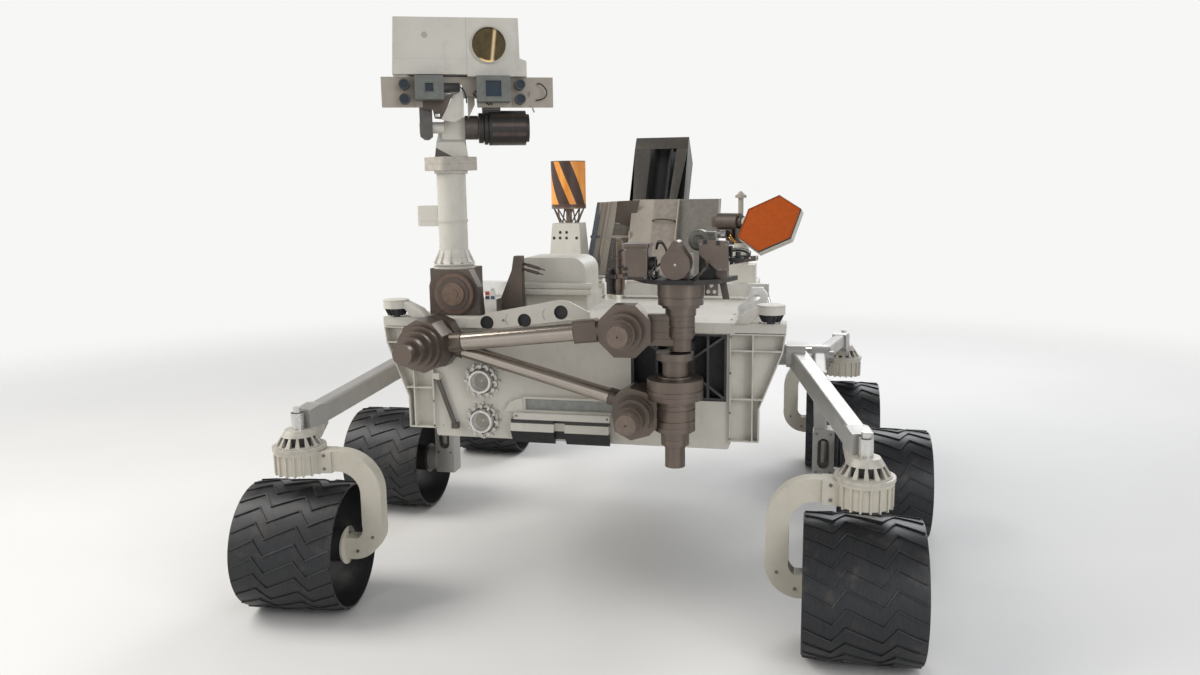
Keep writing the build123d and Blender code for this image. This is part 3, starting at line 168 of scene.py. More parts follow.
class Finish:
    """A material that is built up node by node round one Principled shader."""

    def __init__(self, name, **fixed):
        self.material = bpy.data.materials.new(name)
        self.material.use_nodes = True
        self.tree = self.material.node_tree
        self.shader = self.tree.nodes["Principled BSDF"]
        for socket, value in fixed.items():
            self.shader.inputs[socket.replace("_", " ")].default_value = value

    def add(self, kind, settings=None, inputs=None):
        """Any node: its settings first, then values or links for its sockets."""
        node = self.tree.nodes.new(kind)
        for key, value in (settings or {}).items():
            if key == "stops":
                while len(node.color_ramp.elements) < len(value):
                    node.color_ramp.elements.new(1.0)
                for stop, (place, colour) in zip(node.color_ramp.elements, value):
                    stop.position, stop.color = place, (*colour, 1)
            else:
                setattr(node, key, value)
        for key, value in (inputs or {}).items():
            value = value.value if isinstance(value, Sum) else value
            if isinstance(value, bpy.types.NodeSocket):
                self.tree.links.new(value, node.inputs[key])
            else:
                node.inputs[key].default_value = value
        return node

    def feed(self, socket, value):
        """Link a varying value to one of the shader's own sockets."""
        value = value.value if isinstance(value, Sum) else value
        self.tree.links.new(value, self.shader.inputs[socket])

    def place(self):
        """The point's place on the vehicle as three numbers and as a vector."""
        coords = self.add("ShaderNodeTexCoord").outputs["Object"]
        split = self.add("ShaderNodeSeparateXYZ", None, {0: coords})
        return [Sum(self, out) for out in split.outputs] + [coords]

    def noise(self, vector, scale, detail=3.0, rough=0.5, stretch=None):
        """Cloudy noise, from 0 to 1, optionally squeezed along the axes."""
        if stretch:
            vector = self.add("ShaderNodeVectorMath", {"operation": "MULTIPLY"},
                              {0: vector, 1: stretch}).outputs[0]
        node = self.add("ShaderNodeTexNoise", None,
                        {"Vector": vector, "Scale": scale, "Detail": detail, "Roughness": rough})
        return Sum(self, node.outputs[0])

    def mix(self, factor, first, second):
        """One colour over another by a mask."""
        def paint(value):
            return (*value, 1) if isinstance(value, tuple) else value
        node = self.add("ShaderNodeMix", {"data_type": "RGBA"},
                        {0: factor, 6: paint(first), 7: paint(second)})
        return node.outputs[2]

    def bump(self, height, strength, distance):
        """A bump that feeds the shader's Normal."""
        node = self.add("ShaderNodeBump", None,
                        {"Strength": strength, "Distance": distance, "Height": height})
        self.feed("Normal", node.outputs[0])


print("shader helpers ready")

# %% Floor
bpy.context.scene.view_settings.view_transform = "Standard"
bpy.ops.object.select_all(action="DESELECT")
FLOOR_BACK = -12.0
bpy.ops.mesh.primitive_plane_add(size=60, location=(FLOOR_BACK, 0, 0))
floor = bpy.context.object
floor.name = "floor"
stone = Finish("floor_pale", Roughness=0.85)
x, y, z, spot = stone.place()
patches = stone.noise(spot, 0.9, 4.0, 0.55)
stone.feed("Base Color", stone.mix(patches, (0.70, 0.69, 0.67), (0.76, 0.75, 0.73)))
away = apart(x + FLOOR_BACK, y)
stone.feed("Alpha", away.below(3.0, 8.5))
floor.data.materials.append(stone.material)
print("floor:", round(floor.dimensions.x), "m wide")

# %% World
world = bpy.data.worlds.new("studio")
world.use_nodes = True
bpy.context.scene.world = world
branch = world.node_tree
sky = branch.nodes["Background"]
sky.inputs["Color"].default_value = (0.80, 0.83, 0.88, 1)
sky.inputs["Strength"].default_value = 0.50
backdrop = branch.nodes.new("ShaderNodeBackground")
ceiling = branch.nodes.new("ShaderNodeTexCoord")
split = branch.nodes.new("ShaderNodeSeparateXYZ")
shade = branch.nodes.new("ShaderNodeMapRange")
shade.interpolation_type = "SMOOTHSTEP"
shade.inputs["From Min"].default_value, shade.inputs["From Max"].default_value = 0.24, 0.62
tone = branch.nodes.new("ShaderNodeMix")
tone.data_type = "RGBA"
LOW_SKY, HIGH_SKY = (0.93, 0.93, 0.92, 1), (0.26, 0.25, 0.24, 1)
tone.inputs[6].default_value, tone.inputs[7].default_value = LOW_SKY, HIGH_SKY
branch.links.new(ceiling.outputs["Generated"], split.inputs[0])
branch.links.new(split.outputs["Z"], shade.inputs["Value"])
branch.links.new(shade.outputs[0], tone.inputs[0])
branch.links.new(tone.outputs[2], backdrop.inputs["Color"])
seen = branch.nodes.new("ShaderNodeLightPath")
glossy_too = branch.nodes.new("ShaderNodeMath")
glossy_too.operation = "MAXIMUM"
branch.links.new(seen.outputs["Is Camera Ray"], glossy_too.inputs[0])
through_too = branch.nodes.new("ShaderNodeMath")
through_too.operation = "MAXIMUM"
branch.links.new(seen.outputs["Is Transmission Ray"], glossy_too.inputs[1])
branch.links.new(glossy_too.outputs[0], through_too.inputs[0])
branch.links.new(seen.outputs["Is Glossy Ray"], through_too.inputs[1])
choice = branch.nodes.new("ShaderNodeMixShader")
branch.links.new(through_too.outputs[0], choice.inputs[0])
branch.links.new(sky.outputs[0], choice.inputs[1])
branch.links.new(backdrop.outputs[0], choice.inputs[2])
branch.links.new(choice.outputs[0], branch.nodes["World Output"].inputs["Surface"])
print("world nodes:", len(branch.nodes))


# %% Lamps
def soft_lamp(name, place, aim, size, watts, colour=(1, 1, 1), tall=None):
    """A square area lamp, or a tall one, that faces the given point."""
    lamp = bpy.data.lights.new(name, "AREA")
    lamp.size, lamp.energy, lamp.color = size, watts, colour
    if tall:
        lamp.shape, lamp.size_y = "RECTANGLE", tall
    holder = bpy.data.objects.new(name, lamp)
    bpy.context.scene.collection.objects.link(holder)
    holder.location = place
    holder.rotation_euler = (Vector(aim) - Vector(place)).to_track_quat("-Z", "Y").to_euler()


soft_lamp("key", (2.0, -5.0, 5.5), (0, 0, 0.8), 4.0, 330, (1.0, 0.97, 0.92))
soft_lamp("fill", (5.0, 4.6, 3.8), (0.5, 0, 0.8), 4.0, 120, (0.94, 0.97, 1.0))
soft_lamp("back", (-5.0, 2.0, 5.0), (0, 0, 1.0), 4.0, 260, (0.96, 0.98, 1.0))
soft_lamp("edge_right", (3.2, -2.6, 1.9), (1.1, 0.2, 1.0), 0.30, 14, (1.0, 0.93, 0.86), 1.6)
soft_lamp("edge_left", (3.4, 3.0, 1.9), (1.1, 0.3, 1.0), 0.30, 12, (1.0, 0.94, 0.90), 1.6)
print("lamps:", len(bpy.data.lights))

# %% [markdown]
# ## Paints
# The vehicle has few paints: a warm white on the box and the mast, a light grey on the suspension, a
# dull brown on the arm's joints and the tools, near-black on the wheels. Each could be one flat
# colour, but a real coat varies: it is mottled, greyer where hands and dust reach it, and slightly
# uneven to the light. So every paint mixes shades by noise and lets roughness follow. A paint is a
# function that lays its coat in a new material and hands it back, so that a piece of several
# materials starts from one coat and paints more over it by masks of place.

# %% Sprayed coats
PAINTS = {
    # name: main colour, second shade, dust, roughness, metal
    "white": ((0.60, 0.575, 0.51), (0.54, 0.515, 0.455), (0.40, 0.365, 0.30), 0.46, 0.0),
    "cream": ((0.56, 0.525, 0.44), (0.50, 0.465, 0.385), (0.36, 0.32, 0.25), 0.46, 0.0),
    "grey": ((0.42, 0.405, 0.385), (0.36, 0.35, 0.33), (0.30, 0.27, 0.235), 0.36, 0.35),
    "brown": ((0.165, 0.133, 0.112), (0.130, 0.105, 0.090), (0.200, 0.165, 0.135), 0.34, 0.80),
    "umber": ((0.105, 0.080, 0.064), (0.075, 0.058, 0.048), (0.17, 0.135, 0.105), 0.50, 0.25),
    "black": ((0.030, 0.030, 0.031), (0.021, 0.022, 0.023), (0.080, 0.072, 0.062), 0.46, 0.25),
    "tan": ((0.40, 0.355, 0.295), (0.345, 0.305, 0.255), (0.27, 0.235, 0.19), 0.50, 0.0),
}


class Coat(Finish):
    """A sprayed coat that can be painted over by masks before its colour is linked."""

    def __init__(self, name, paint):
        super().__init__(name)
        main, shade, dust, rough, metal = PAINTS[paint]
        self.x, self.y, self.z, self.spot = self.place()
        cloud = self.noise(self.spot, 3.2, 5.0, 0.62)
        self.fine = self.noise(self.spot, 38.0, 4.0, 0.6)
        streak = self.noise(self.spot, 5.0, 3.0, 0.6, stretch=(3.0, 3.0, 0.35))
        self.dirt = (streak * 0.6 + self.fine * 0.4).ramp(0.50, 0.78) * 0.5
        self.colour = self.mix(cloud.ramp(0.38, 0.66), main, shade)
        self.colour = self.mix(self.dirt, self.colour, dust)
        self.rough = rough + (self.fine - 0.5) * 0.16 + self.dirt * 0.2
        self.metal = metal
        self.height = self.noise(self.spot, 420.0, 2.0, 0.5) * 0.3 + self.fine * 0.25

    def over(self, mask, colour, rough=None, metal=None, mottle=0.22):
        """Another finish where the mask is 1, slightly mottled so that it isn't flat.
        A mask of 1.0 covers the whole piece."""
        dark = tuple(c * (1 - mottle) for c in colour)
        self.colour = self.mix(mask, self.colour, self.mix(self.fine.ramp(0.3, 0.7), colour, dark))
        if rough is not None:
            self.rough = self.rough * (1 - mask) + (rough + (self.fine - 0.5) * 0.12) * mask
        if metal is not None:
            self.metal = self.metal * (1 - mask) + metal * mask
        return self

    def reach(self, plane, centre):
        """Distance from a centre in a plane, such as "yz"."""
        return apart(*[getattr(self, axis) - middle for axis, middle in zip(plane, centre)])

    def along(self, centre, axis):
        """Distance from a point along any axis."""
        legs = [value - middle for value, middle in zip((self.x, self.y, self.z), centre)]
        return legs[0] * axis[0] + legs[1] * axis[1] + legs[2] * axis[2]

    def turned(self, about, degrees):
        """Distances ahead and to the left in a frame that is turned about an upright axis."""
        turn = math.radians(degrees)
        dx, dy = self.x - about[0], self.y - about[1]
        return dx * math.cos(turn) + dy * math.sin(turn), dy * math.cos(turn) - dx * math.sin(turn)

    def seam(self, line, shade=0.55):
        """A thin dark joint between panels where the mask is 1."""
        self.colour = self.mix(line * shade, self.colour, (0.09, 0.08, 0.07))
        self.height = self.height - line * 3.0
        return self

    def done(self, peel=0.25):
        self.feed("Base Color", self.colour)
        self.feed("Roughness", self.rough)
        if isinstance(self.metal, Sum):
            self.feed("Metallic", self.metal)
        else:
            self.shader.inputs["Metallic"].default_value = self.metal
        self.bump(self.height, peel, 0.0006)
        return self.material


white, grey, brown, umber, black, tan = [
    Coat(f"{name}_coat", name).done() for name in ("white", "grey", "brown", "umber", "black", "tan")]
print("paints:", len(PAINTS))

# %% [markdown]
# ## Bare metal
# The screws, the differential bar and some motors are bare metal. One smooth grey would do from far
# off, but turned metal has fine lines that run one way and stretch its highlights. So noise that is
# squeezed along one axis varies the roughness and adds a faint bump.

# %% Bare and polished metal
def bare_metal(name, main, shade, along, rough=0.28):
    """Turned or drawn metal with fine lines that run along one axis."""
    metal = Finish(name, Metallic=1.0)
    spot = metal.place()[3]
    lines = metal.noise(spot, 30.0, 4.0, 0.7, stretch=along)
    cloud = metal.noise(spot, 6.0, 4.0, 0.6)
    metal.feed("Base Color", metal.mix(cloud.ramp(0.35, 0.7), main, shade))
    metal.feed("Roughness", rough + (lines - 0.5) * 0.22 + (cloud - 0.5) * 0.12)
    metal.bump(lines, 0.12, 0.0004)
    return metal.material


plain_metal = bare_metal("machined_metal", (0.62, 0.61, 0.58), (0.50, 0.49, 0.46), (9.0, 9.0, 1.5), 0.34)
dull_metal = bare_metal("dull_metal", (0.26, 0.255, 0.25), (0.18, 0.175, 0.17), (5.0, 5.0, 5.0), 0.42)
bright_metal = bare_metal("bright_metal", (0.78, 0.77, 0.74), (0.66, 0.65, 0.62), (12.0, 12.0, 2.0), 0.22)
print("metals ready")

# %% [markdown]
# ## Finishes that change over one piece
# A solid piece is often of several materials: the suspension's arms end in a steering unit with
# windows painted dark inside as painted shade and a bright motor, and a link of the arm is a polished
# tube between brown housings.
# Each could be cut into separate objects, but a CAD piece stays whole, so masks of place paint the
# second finish over the first. The numbers are the places of those details in metres.

# %% Suspension and steering units
FRONT_X, REAR_X, END_TRACK, MIDDLE_TRACK, AXLE_Z = 1.200, -1.050, 1.060, 1.215, 0.254


def suspension_coat(name, corner_x):
    """Grey arm with a cream steering cone: windows painted dark inside as painted shade, bright motor."""
    coat = Coat(name, "grey")
    side = coat.y.size()
    reach = apart(coat.x - corner_x, side - END_TRACK)
    cone = reach.below(0.100, 0.112) * coat.z.below(0.722, 0.724)
    coat.over(cone, (0.52, 0.49, 0.425), 0.42, 0.05)
    # The windows of the cone are painted near-black inside: painted shade in their recesses.
    shaded_windows = reach.below(0.0625, 0.0635) * coat.z.between(0.6615, 0.699)
    coat.over(shaded_windows, (0.022, 0.02, 0.018), 0.7, 0.0)
    motor = reach.below(0.0265, 0.0275) * coat.z.ramp(0.7215, 0.7225)
    coat.over(motor, (0.66, 0.655, 0.63), 0.26, 0.9, 0.1)
    coat.over(motor * coat.z.between(0.7852, 0.7868, 0.0003), (0.10, 0.095, 0.09), 0.5, 0.5)
    coat.over(coat.y.size().ramp(0.852, 0.854) * coat.z.ramp(0.86, 0.87) * coat.x.between(0.38, 0.46),
              (0.70, 0.69, 0.66), 0.2, 1.0)
    window = coat.z.between(0.318, 0.462) * coat.x.between(0.0, 0.0455) * side.between(0.913, 0.973)
    coat.over(window * coat.x.between(0.0, 0.0446), (0.26, 0.25, 0.23), 0.4, 0.5)
    coat.over(side.ramp(1.035, 1.037) * coat.z.below(0.35, 0.36), (0.07, 0.068, 0.065), 0.4, 0.6)
    return coat.done()


def knuckle_coat(name):
    """Cream drum and strut, dark metal drive."""
    coat = Coat(name, "cream")
    drive = coat.y.size().ramp(0.886, 0.888) * coat.z.below(0.335, 0.345)
    coat.over(drive, (0.085, 0.083, 0.08), 0.38, 0.6)
    return coat.done()


front_arm = suspension_coat("front_arm_coat", FRONT_X)
rear_arm = suspension_coat("rear_arm_coat", REAR_X)
corner_coat = knuckle_coat("corner_coat")
print("suspension finishes ready")


# %% Wheel skin and hubs
def wheel_coat(name):
    """Dark anodised skin: brushed round the wheel, scuffed on the lugs."""
    skin = Finish(name, Metallic=0.55)
    spot = skin.place()[3]
    brushed = skin.noise(spot, 26.0, 4.0, 0.7, stretch=(1.0, 12.0, 1.0))
    scuff = skin.noise(spot, 7.0, 6.0, 0.65).ramp(0.52, 0.72)
    colour = skin.mix(brushed.ramp(0.3, 0.75), (0.026, 0.028, 0.031), (0.042, 0.043, 0.046))
    skin.feed("Base Color", skin.mix(scuff * 0.6, colour, (0.105, 0.095, 0.082)))
    skin.feed("Roughness", 0.34 + brushed * 0.14 + scuff * 0.16)
    skin.bump(brushed, 0.16, 0.0005)
    return skin.material


wheel_skin = wheel_coat("wheel_skin")
hub_metal = bare_metal("hub_metal", (0.135, 0.13, 0.125), (0.085, 0.083, 0.08), (8.0, 1.0, 8.0), 0.36)
print("wheel finishes ready")

# %% [markdown]
# ## Arm
# A link is a polished tube between brown housings, and each joint is a round actuator with turned
# grooves, a paler cap and a dark centre hole. A link lies at a slant, so limits along the three main
# axes wouldn't follow it. Its two joints are given instead, and the masks measure along the line
# between them. The grooves are a sine of the distance from the joint's axis, which draws rings with
# no unwrapping.

# %% Coats for links and actuators
SHOULDER, ELBOW, WRIST = (0.264, 0.830), (-0.541, 1.052), (0.238, 1.134)


def link_coat(name, near, far, low, high):
    """Brown housings joined by a polished tube, between two distances along the link."""
    coat = Coat(name, "brown")
    run = Vector((far[0] - near[0], far[1] - near[1])).normalized()
    along = (coat.y - near[0]) * run.x + (coat.z - near[1]) * run.y
    across = ((coat.y - near[0]) * run.y - (coat.z - near[1]) * run.x).size()
    polished = along.between(low, high, 0.0003) * across.below(0.045, 0.047)
    lines = coat.noise(coat.spot, 30.0, 4.0, 0.7, stretch=(14.0, 0.6, 9.0))
    coat.over(polished, (0.43, 0.385, 0.34), 0.22, 1.0, 0.05)
    coat.rough = coat.rough + polished * (lines - 0.5) * 0.12
    rings = ((along - low).size().smaller((along - high).size())).between(-0.001, 0.0016, 0.0004)
    coat.over(rings * across.below(0.045, 0.047), (0.03, 0.027, 0.024), 0.6, 0.2)
    return coat.done(0.18)


def actuator_coat(name, axis_y, axis_z):
    """Brown actuator on an axis along X: turned rings, paler cap, a dark centre hole."""
    coat = Coat(name, "brown")
    reach = coat.reach("yz", (axis_y, axis_z))
    cap = reach.below(0.040, 0.041) * coat.x.ramp(1.303, 1.305)
    coat.over(cap, (0.20, 0.155, 0.125), 0.42, 0.45)
    hole = reach.below(0.0032, 0.0038) * coat.x.ramp(1.348, 1.350)
    coat.over(hole, (0.004, 0.004, 0.004), 0.8, 0.0)
    groove = (reach * 900.0).sine().ramp(0.90, 0.99) * coat.x.ramp(1.19, 1.191) * reach.below(0.09, 0.1)
    coat.over(groove * 0.35, (0.05, 0.042, 0.036), 0.5, 0.4)
    return coat


def stack_bands(coat, centre, bands):
    """Thin dark joints round an upright stack of actuators, at the given heights."""
    reach = coat.reach("xy", centre)
    near_axis = reach.below(0.104, 0.106)
    for height in bands:
        coat.seam(near_axis * coat.z.line(height, 0.0011, 0.0004), 0.8)
    return coat


print("link and actuator coats defined")

# %% Links, shoulder, wrist and mount
upper_coat = link_coat("upper_link_coat", SHOULDER, ELBOW, 0.125, 0.717)
fore_coat = link_coat("fore_link_coat", ELBOW, WRIST, 0.142, 0.578)
shoulder_coat = stack_bands(actuator_coat("shoulder_coat", *SHOULDER), (1.150, 0.405),
                            (0.712, 0.742, 0.790, 0.870, 0.905)).done()
wrist_coat = stack_bands(actuator_coat("wrist_coat", *WRIST), (1.150, 0.425),
                         (1.104, 1.128, 1.168, 1.186)).done()

mount = Coat("mount_coat", "brown")
mount.over(mount.x.below(1.040, 1.044), (0.075, 0.074, 0.076), 0.42, 0.35)
mount.over(mount.x.below(0.9149, 0.9155), (0.020, 0.021, 0.023), 0.6, 0.1)
stack_bands(mount, (1.150, 0.405), (0.970, 1.028))
mount_coat = mount.done()
print("arm finishes ready")

# %% [markdown]
# ## Box and deck
# The box and the deck are painted panels with joints less than 2 mm wide. The joints could be cut into
# the mesh, but a solid piece keeps its shape, so each one is a narrow mask that darkens the paint and
# lowers the bump. The open compartment at the front is painted near-black inside as painted shade.

# %% Box, deck and corner pucks
SEAM = 0.0008
box = Coat("box_coat", "white")
# Inside the front compartment the walls are painted near-black: painted shade.
opening = box.x.between(0.905, 0.9699, 0.0002) * box.y.between(0.211, 0.572) * box.z.between(0.837, 1.092)
box.over(opening, (0.030, 0.031, 0.034), 0.5, 0.2)
for height in (0.700, 1.058):
    box.seam(box.z.line(height, SEAM) * box.x.below(0.955, 0.957))
for place in (-0.50, -0.12, 0.26, 0.64):
    box.seam(box.x.line(place, SEAM))
box.over(box.z.below(0.6565, 0.6575), (0.30, 0.285, 0.25), 0.5, 0.2)
body_coat = box.done()

deck = Coat("deck_coat", "white")
for place in (-0.36, 0.05, 0.72):
    deck.seam(deck.x.line(place, 0.0009) * deck.z.ramp(1.1345, 1.1349))
for place in (-0.30, 0.30):
    deck.seam(deck.y.line(place, 0.0009) * deck.z.ramp(1.1345, 1.1349))
deck.over(deck.x.between(0.781, 0.823) * deck.z.ramp(1.1352, 1.1356), (0.66, 0.65, 0.62), 0.4, 0.1)
deck_coat = deck.done()

puck = Coat("puck_coat", "white")
puck.over(puck.z.below(1.1705, 1.1712), (0.040, 0.042, 0.046), 0.42, 0.4)
puck.seam(puck.z.between(1.1985, 1.2000, 0.0003), 0.5)
puck_coat = puck.done()
print("box and deck finishes ready")

# %% [markdown]
# ## Front fittings
# Below the deck there is a shelf whose lower faces, which slant back underneath, are painted near-black
# as painted shade; beside it two bit holders with pale rings, and above it a plate with round holes. The
# rings could be loose pieces, but both holders are one solid, so masks of the distance from a hole's
# centre paint them. The smaller of the two distances serves both holes with one set of masks.

# %% Shelf, bit holders and stow plate
shelf = Coat("shelf_coat", "white")
# Below the trays the faces slant back underneath and are painted near-black: painted shade.
foot = shelf.z.below(0.697, 0.699) * shelf.y.size().below(0.40, 0.41)
shelf.over(foot, (0.014, 0.014, 0.015), 0.42, 0.2)
shelf.over(shelf.z.between(0.7285, 0.7455), (0.045, 0.043, 0.04), 0.5, 0.2)
slot = shelf.z.between(0.780, 0.824) * shelf.y.between(-0.205, 0.134) * shelf.x.below(0.9735, 0.9745)
shelf.over(slot, (0.28, 0.29, 0.27), 0.4, 0.3)
corner = shelf.y.below(-0.47, -0.46) * shelf.z.below(0.888, 0.890)
shelf.over(corner, (0.10, 0.088, 0.075), 0.42, 0.4)
shelf_coat = shelf.done()

BIT_PLACES = [(-0.382, 0.888), (-0.382, 0.729)]
bits = Coat("bit_holder_coat", "brown")
reach = None
for y0, z0 in BIT_PLACES:
    here = bits.reach("yz", (y0, z0))
    reach = here if reach is None else reach.smaller(here)
bits.over(reach.below(0.0455, 0.046), (0.62, 0.61, 0.57), 0.42, 0.1)
bits.over(reach.between(0.0365, 0.0455) * bits.x.ramp(1.0085, 1.0092), (0.70, 0.69, 0.66), 0.28, 0.9)
bits.over(reach.ramp(0.0515, 0.0525), (0.58, 0.57, 0.53), 0.30, 0.95)
bits.over(reach.below(0.030, 0.0305) * reach.ramp(0.004, 0.0046) * bits.x.below(0.984, 0.9845),
          (0.40, 0.37, 0.32), 0.5, 0.2)
bits_coat = bits.done()

STOW_HOLES = [(-0.347, 1.121), (-0.196, 1.132), (-0.051, 1.166)]
stow = Coat("stow_plate_coat", "white")
# Two curved ridges between the holes: a slight raise in the bump, with their shading painted as a dark arc.
shaded_ridge = None
for y0, z0 in ((-0.272, 1.135), (-0.124, 1.157)):
    here = stow.reach("yz", (y0 + 0.03, z0))
    arc = here.between(0.0265, 0.0300, 0.0006) * stow.y.below(y0 + 0.008, y0 + 0.012)
    shaded_ridge = arc if shaded_ridge is None else shaded_ridge.larger(arc)
stow.over(shaded_ridge * 0.7, (0.24, 0.22, 0.19), 0.5, 0.1)
stow.height = stow.height + shaded_ridge * 5.0
# The edges of the holes are painted dark as painted shade inside them.
for y0, z0 in STOW_HOLES:
    here = stow.reach("yz", (y0, z0))
    stow.over(here.below(0.0268, 0.0272), (0.055, 0.058, 0.055), 0.5, 0.2)
stow_coat = stow.done()
print("front finishes ready")

# %% [markdown]
# ## Mast and head
# The mast is a pale tube with thin joints between its sections. It carries a bar of cameras and a boxy
# head with one large round window, gold inside. The head is parked turned to the left, so its masks
# read distances ahead and to the left that are first turned about the mast's axis. A Mapping node
# could turn them too, but here the whole mask stays one expression. What the window would mirror
# outdoors isn't there in a studio, so a bright streak and a warm lower edge are painted in it.

# %% Hinge, mast and neck
MAST, HEAD_TURN = (0.800, -0.549), 21.7

hinge = Coat("hinge_coat", "umber")
reach = hinge.reach("yz", (-0.510, 1.222))
# The two paler metallic rings on the hinge's faces are painted highlights.
hinge.over(reach.between(0.066, 0.080) * hinge.x.ramp(0.9195, 0.9205), (0.155, 0.105, 0.078), 0.34, 0.6)
hinge.over(reach.below(0.046, 0.047) * hinge.x.ramp(0.9245, 0.9255), (0.175, 0.120, 0.090), 0.36, 0.6)
hinge.seam(hinge.x.below(0.900, 0.903) * hinge.z.between(1.2295, 1.2310, 0.0003), 0.6)
hinge_coat = hinge.done()

mast = Coat("mast_coat", "white")
mast.over(mast.z.between(1.704, 1.7575, 0.0004), (0.50, 0.46, 0.395), 0.45, 0.0)
mast.seam(mast.z.between(1.7295, 1.7305, 0.0003), 0.45)
for height in (1.3245, 1.360, 1.505, 1.692):
    mast.seam(mast.z.line(height, 0.0007), 0.4)
mast_coat = mast.done()

neck = Coat("neck_coat", "white")
ahead, left = neck.turned(MAST, HEAD_TURN)
# A dark slanted triangle on the neck is painted shade, as on a face turned from the light.
shaded_slant = (left + 0.050) * 0.55 + (neck.z - 1.762)
neck.over(shaded_slant.below(0.026, 0.030) * ahead.ramp(0.046, 0.048), (0.085, 0.072, 0.062), 0.5, 0.1)
neck.seam(neck.z.between(1.8145, 1.8158, 0.0003), 0.5)
neck.over(left.ramp(0.0595, 0.0605) * neck.z.ramp(1.80, 1.805), (0.10, 0.085, 0.072), 0.42, 0.4)
neck_coat = neck.done()
print("mast finishes ready")

# %% Camera bar and head
bar = Coat("camera_bar_coat", "tan")
ahead, left = bar.turned(MAST, HEAD_TURN)
motor = left.ramp(0.113, 0.115) * bar.z.below(1.934, 1.936)
bar.over(motor, (0.030, 0.026, 0.024), 0.5, 0.2)
stripes = ((bar.z - 1.866) * 170.0).sine().ramp(0.25, 0.55)
bar.over(motor * left.between(0.165, 0.297) * stripes, (0.092, 0.068, 0.054), 0.36, 0.4)
bar.over(motor * left.ramp(0.2975, 0.2985), (0.055, 0.05, 0.047), 0.4, 0.5)
bar.over(ahead.below(0.092, 0.094) * (1 - motor), (0.115, 0.105, 0.098), 0.5, 0.2)
plates = ahead.ramp(0.094, 0.096)
bar.seam(plates * left.between(-0.1292, -0.1280, 0.0003), 0.6)
bar.seam(plates * left.between(0.2440, 0.2452, 0.0003), 0.6)
bar_coat = bar.done()

head = Coat("head_coat", "white")
ahead, left = head.turned(MAST, HEAD_TURN)
radius = apart(left - 0.160, head.z - 2.171)
head.seam(left.between(0.0750, 0.0762, 0.0003) * ahead.ramp(0.1, 0.11), 0.6)
level_seam = head.z.between(2.118, 2.1192, 0.0003) * left.below(0.0750, 0.0755)
head.seam(level_seam * ahead.ramp(0.1, 0.11), 0.25)
head.over(radius.between(0.0645, 0.0685) * ahead.ramp(0.141, 0.142), (0.47, 0.44, 0.37), 0.4, 0.1)
gold = radius.below(0.0638, 0.0642) * ahead.between(0.125, 0.1495, 0.001)
streak = (left - 0.178 - (head.z - 2.171) * 0.12).size()
head.over(gold, (0.105, 0.082, 0.045), 0.14, 1.0, 0.30)
head.over(gold * streak.below(0.001, 0.010), (0.62, 0.49, 0.28), 0.18, 1.0, 0.1)
low_edge = radius.between(0.056, 0.0635, 0.003) * head.z.below(2.120, 2.128)
low_edge = low_edge * left.between(0.125, 0.175, 0.01)
head.over(gold * low_edge, (0.95, 0.66, 0.28), 0.20, 1.0, 0.1)
dimple = apart(left + 0.080, head.z - 2.205)
head.over(dimple.below(0.010, 0.013), (0.44, 0.42, 0.37), 0.55, 0.0)
head_coat = head.done()
print("head finishes ready")

# %% Lenses
CAMERA_WINDOWS = [(-0.0685, 2.010, 0.015), (0.1715, 2.006, 0.029)]
NAV_PLACES = [(y, z) for y in (-0.163, 0.276) for z in (1.971, 2.025)]
cameras = Coat("camera_coat", "tan")
ahead, left = cameras.turned(MAST, HEAD_TURN)
cameras.over(1.0, (0.150, 0.158, 0.145), 0.46, 0.15)
for place_y, place_z, half in CAMERA_WINDOWS:
    inside = left.between(place_y - half, place_y + half) * cameras.z.between(place_z - half, place_z + half)
    cameras.over(inside * ahead.below(0.1685, 0.1695), (0.006, 0.026, 0.050), 0.12, 0.0)
    rim = left.between(place_y - half - 0.005, place_y + half + 0.005) * cameras.z.between(
        place_z - half - 0.005, place_z + half + 0.005)
    cameras.over(rim * ahead.ramp(0.1695, 0.1700), (0.12, 0.125, 0.12), 0.4, 0.3)
for place_y, place_z in NAV_PLACES:
    reach = apart(left - place_y, cameras.z - place_z)
    cameras.over(reach.below(0.0215, 0.022), (0.050, 0.055, 0.058), 0.4, 0.4)
    cameras.over(reach.below(0.0148, 0.0152), (0.005, 0.024, 0.045), 0.12, 0.0)
camera_coat = cameras.done(0.1)
print("lenses:", len(CAMERA_WINDOWS) + len(NAV_PLACES))

# %% [markdown]
# ## Helix aerial
# The upright can is an orange shell with dark strips wound round it. A picture could be wrapped on it,
# but a helix is simple maths: twice the angle round the can plus nine times the height stays the same
# along a strip, and a sine of it makes the bands.

# %% Orange can and its foot
UHF = (-0.600, -0.430)
can = Finish("helix_shell", Roughness=0.32)
x, y, z, spot = can.place()
turn = (y - UHF[1]).angle(x - UHF[0])
wound = turn * 2.0 + z * 9.0
film = can.noise(spot, 30.0, 4.0, 0.6, stretch=(1.0, 1.0, 0.2))
sheet_colour = can.mix(film.ramp(0.3, 0.7), (0.80, 0.27, 0.035), (0.93, 0.40, 0.07))
strip = (wound - 1.83).sine().ramp(0.76, 0.81).larger((wound + 0.30).sine().ramp(0.76, 0.81))
colour = can.mix(strip, sheet_colour, (0.052, 0.026, 0.018))
ends = z.below(1.541, 1.543).larger(z.ramp(1.768, 1.770))
can.feed("Base Color", can.mix(ends, colour, (0.085, 0.045, 0.028)))
can.feed("Roughness", 0.26 + film * 0.14 + strip * 0.15)
can.bump(film + strip * 0.8, 0.2, 0.0008)
can_coat = can.material

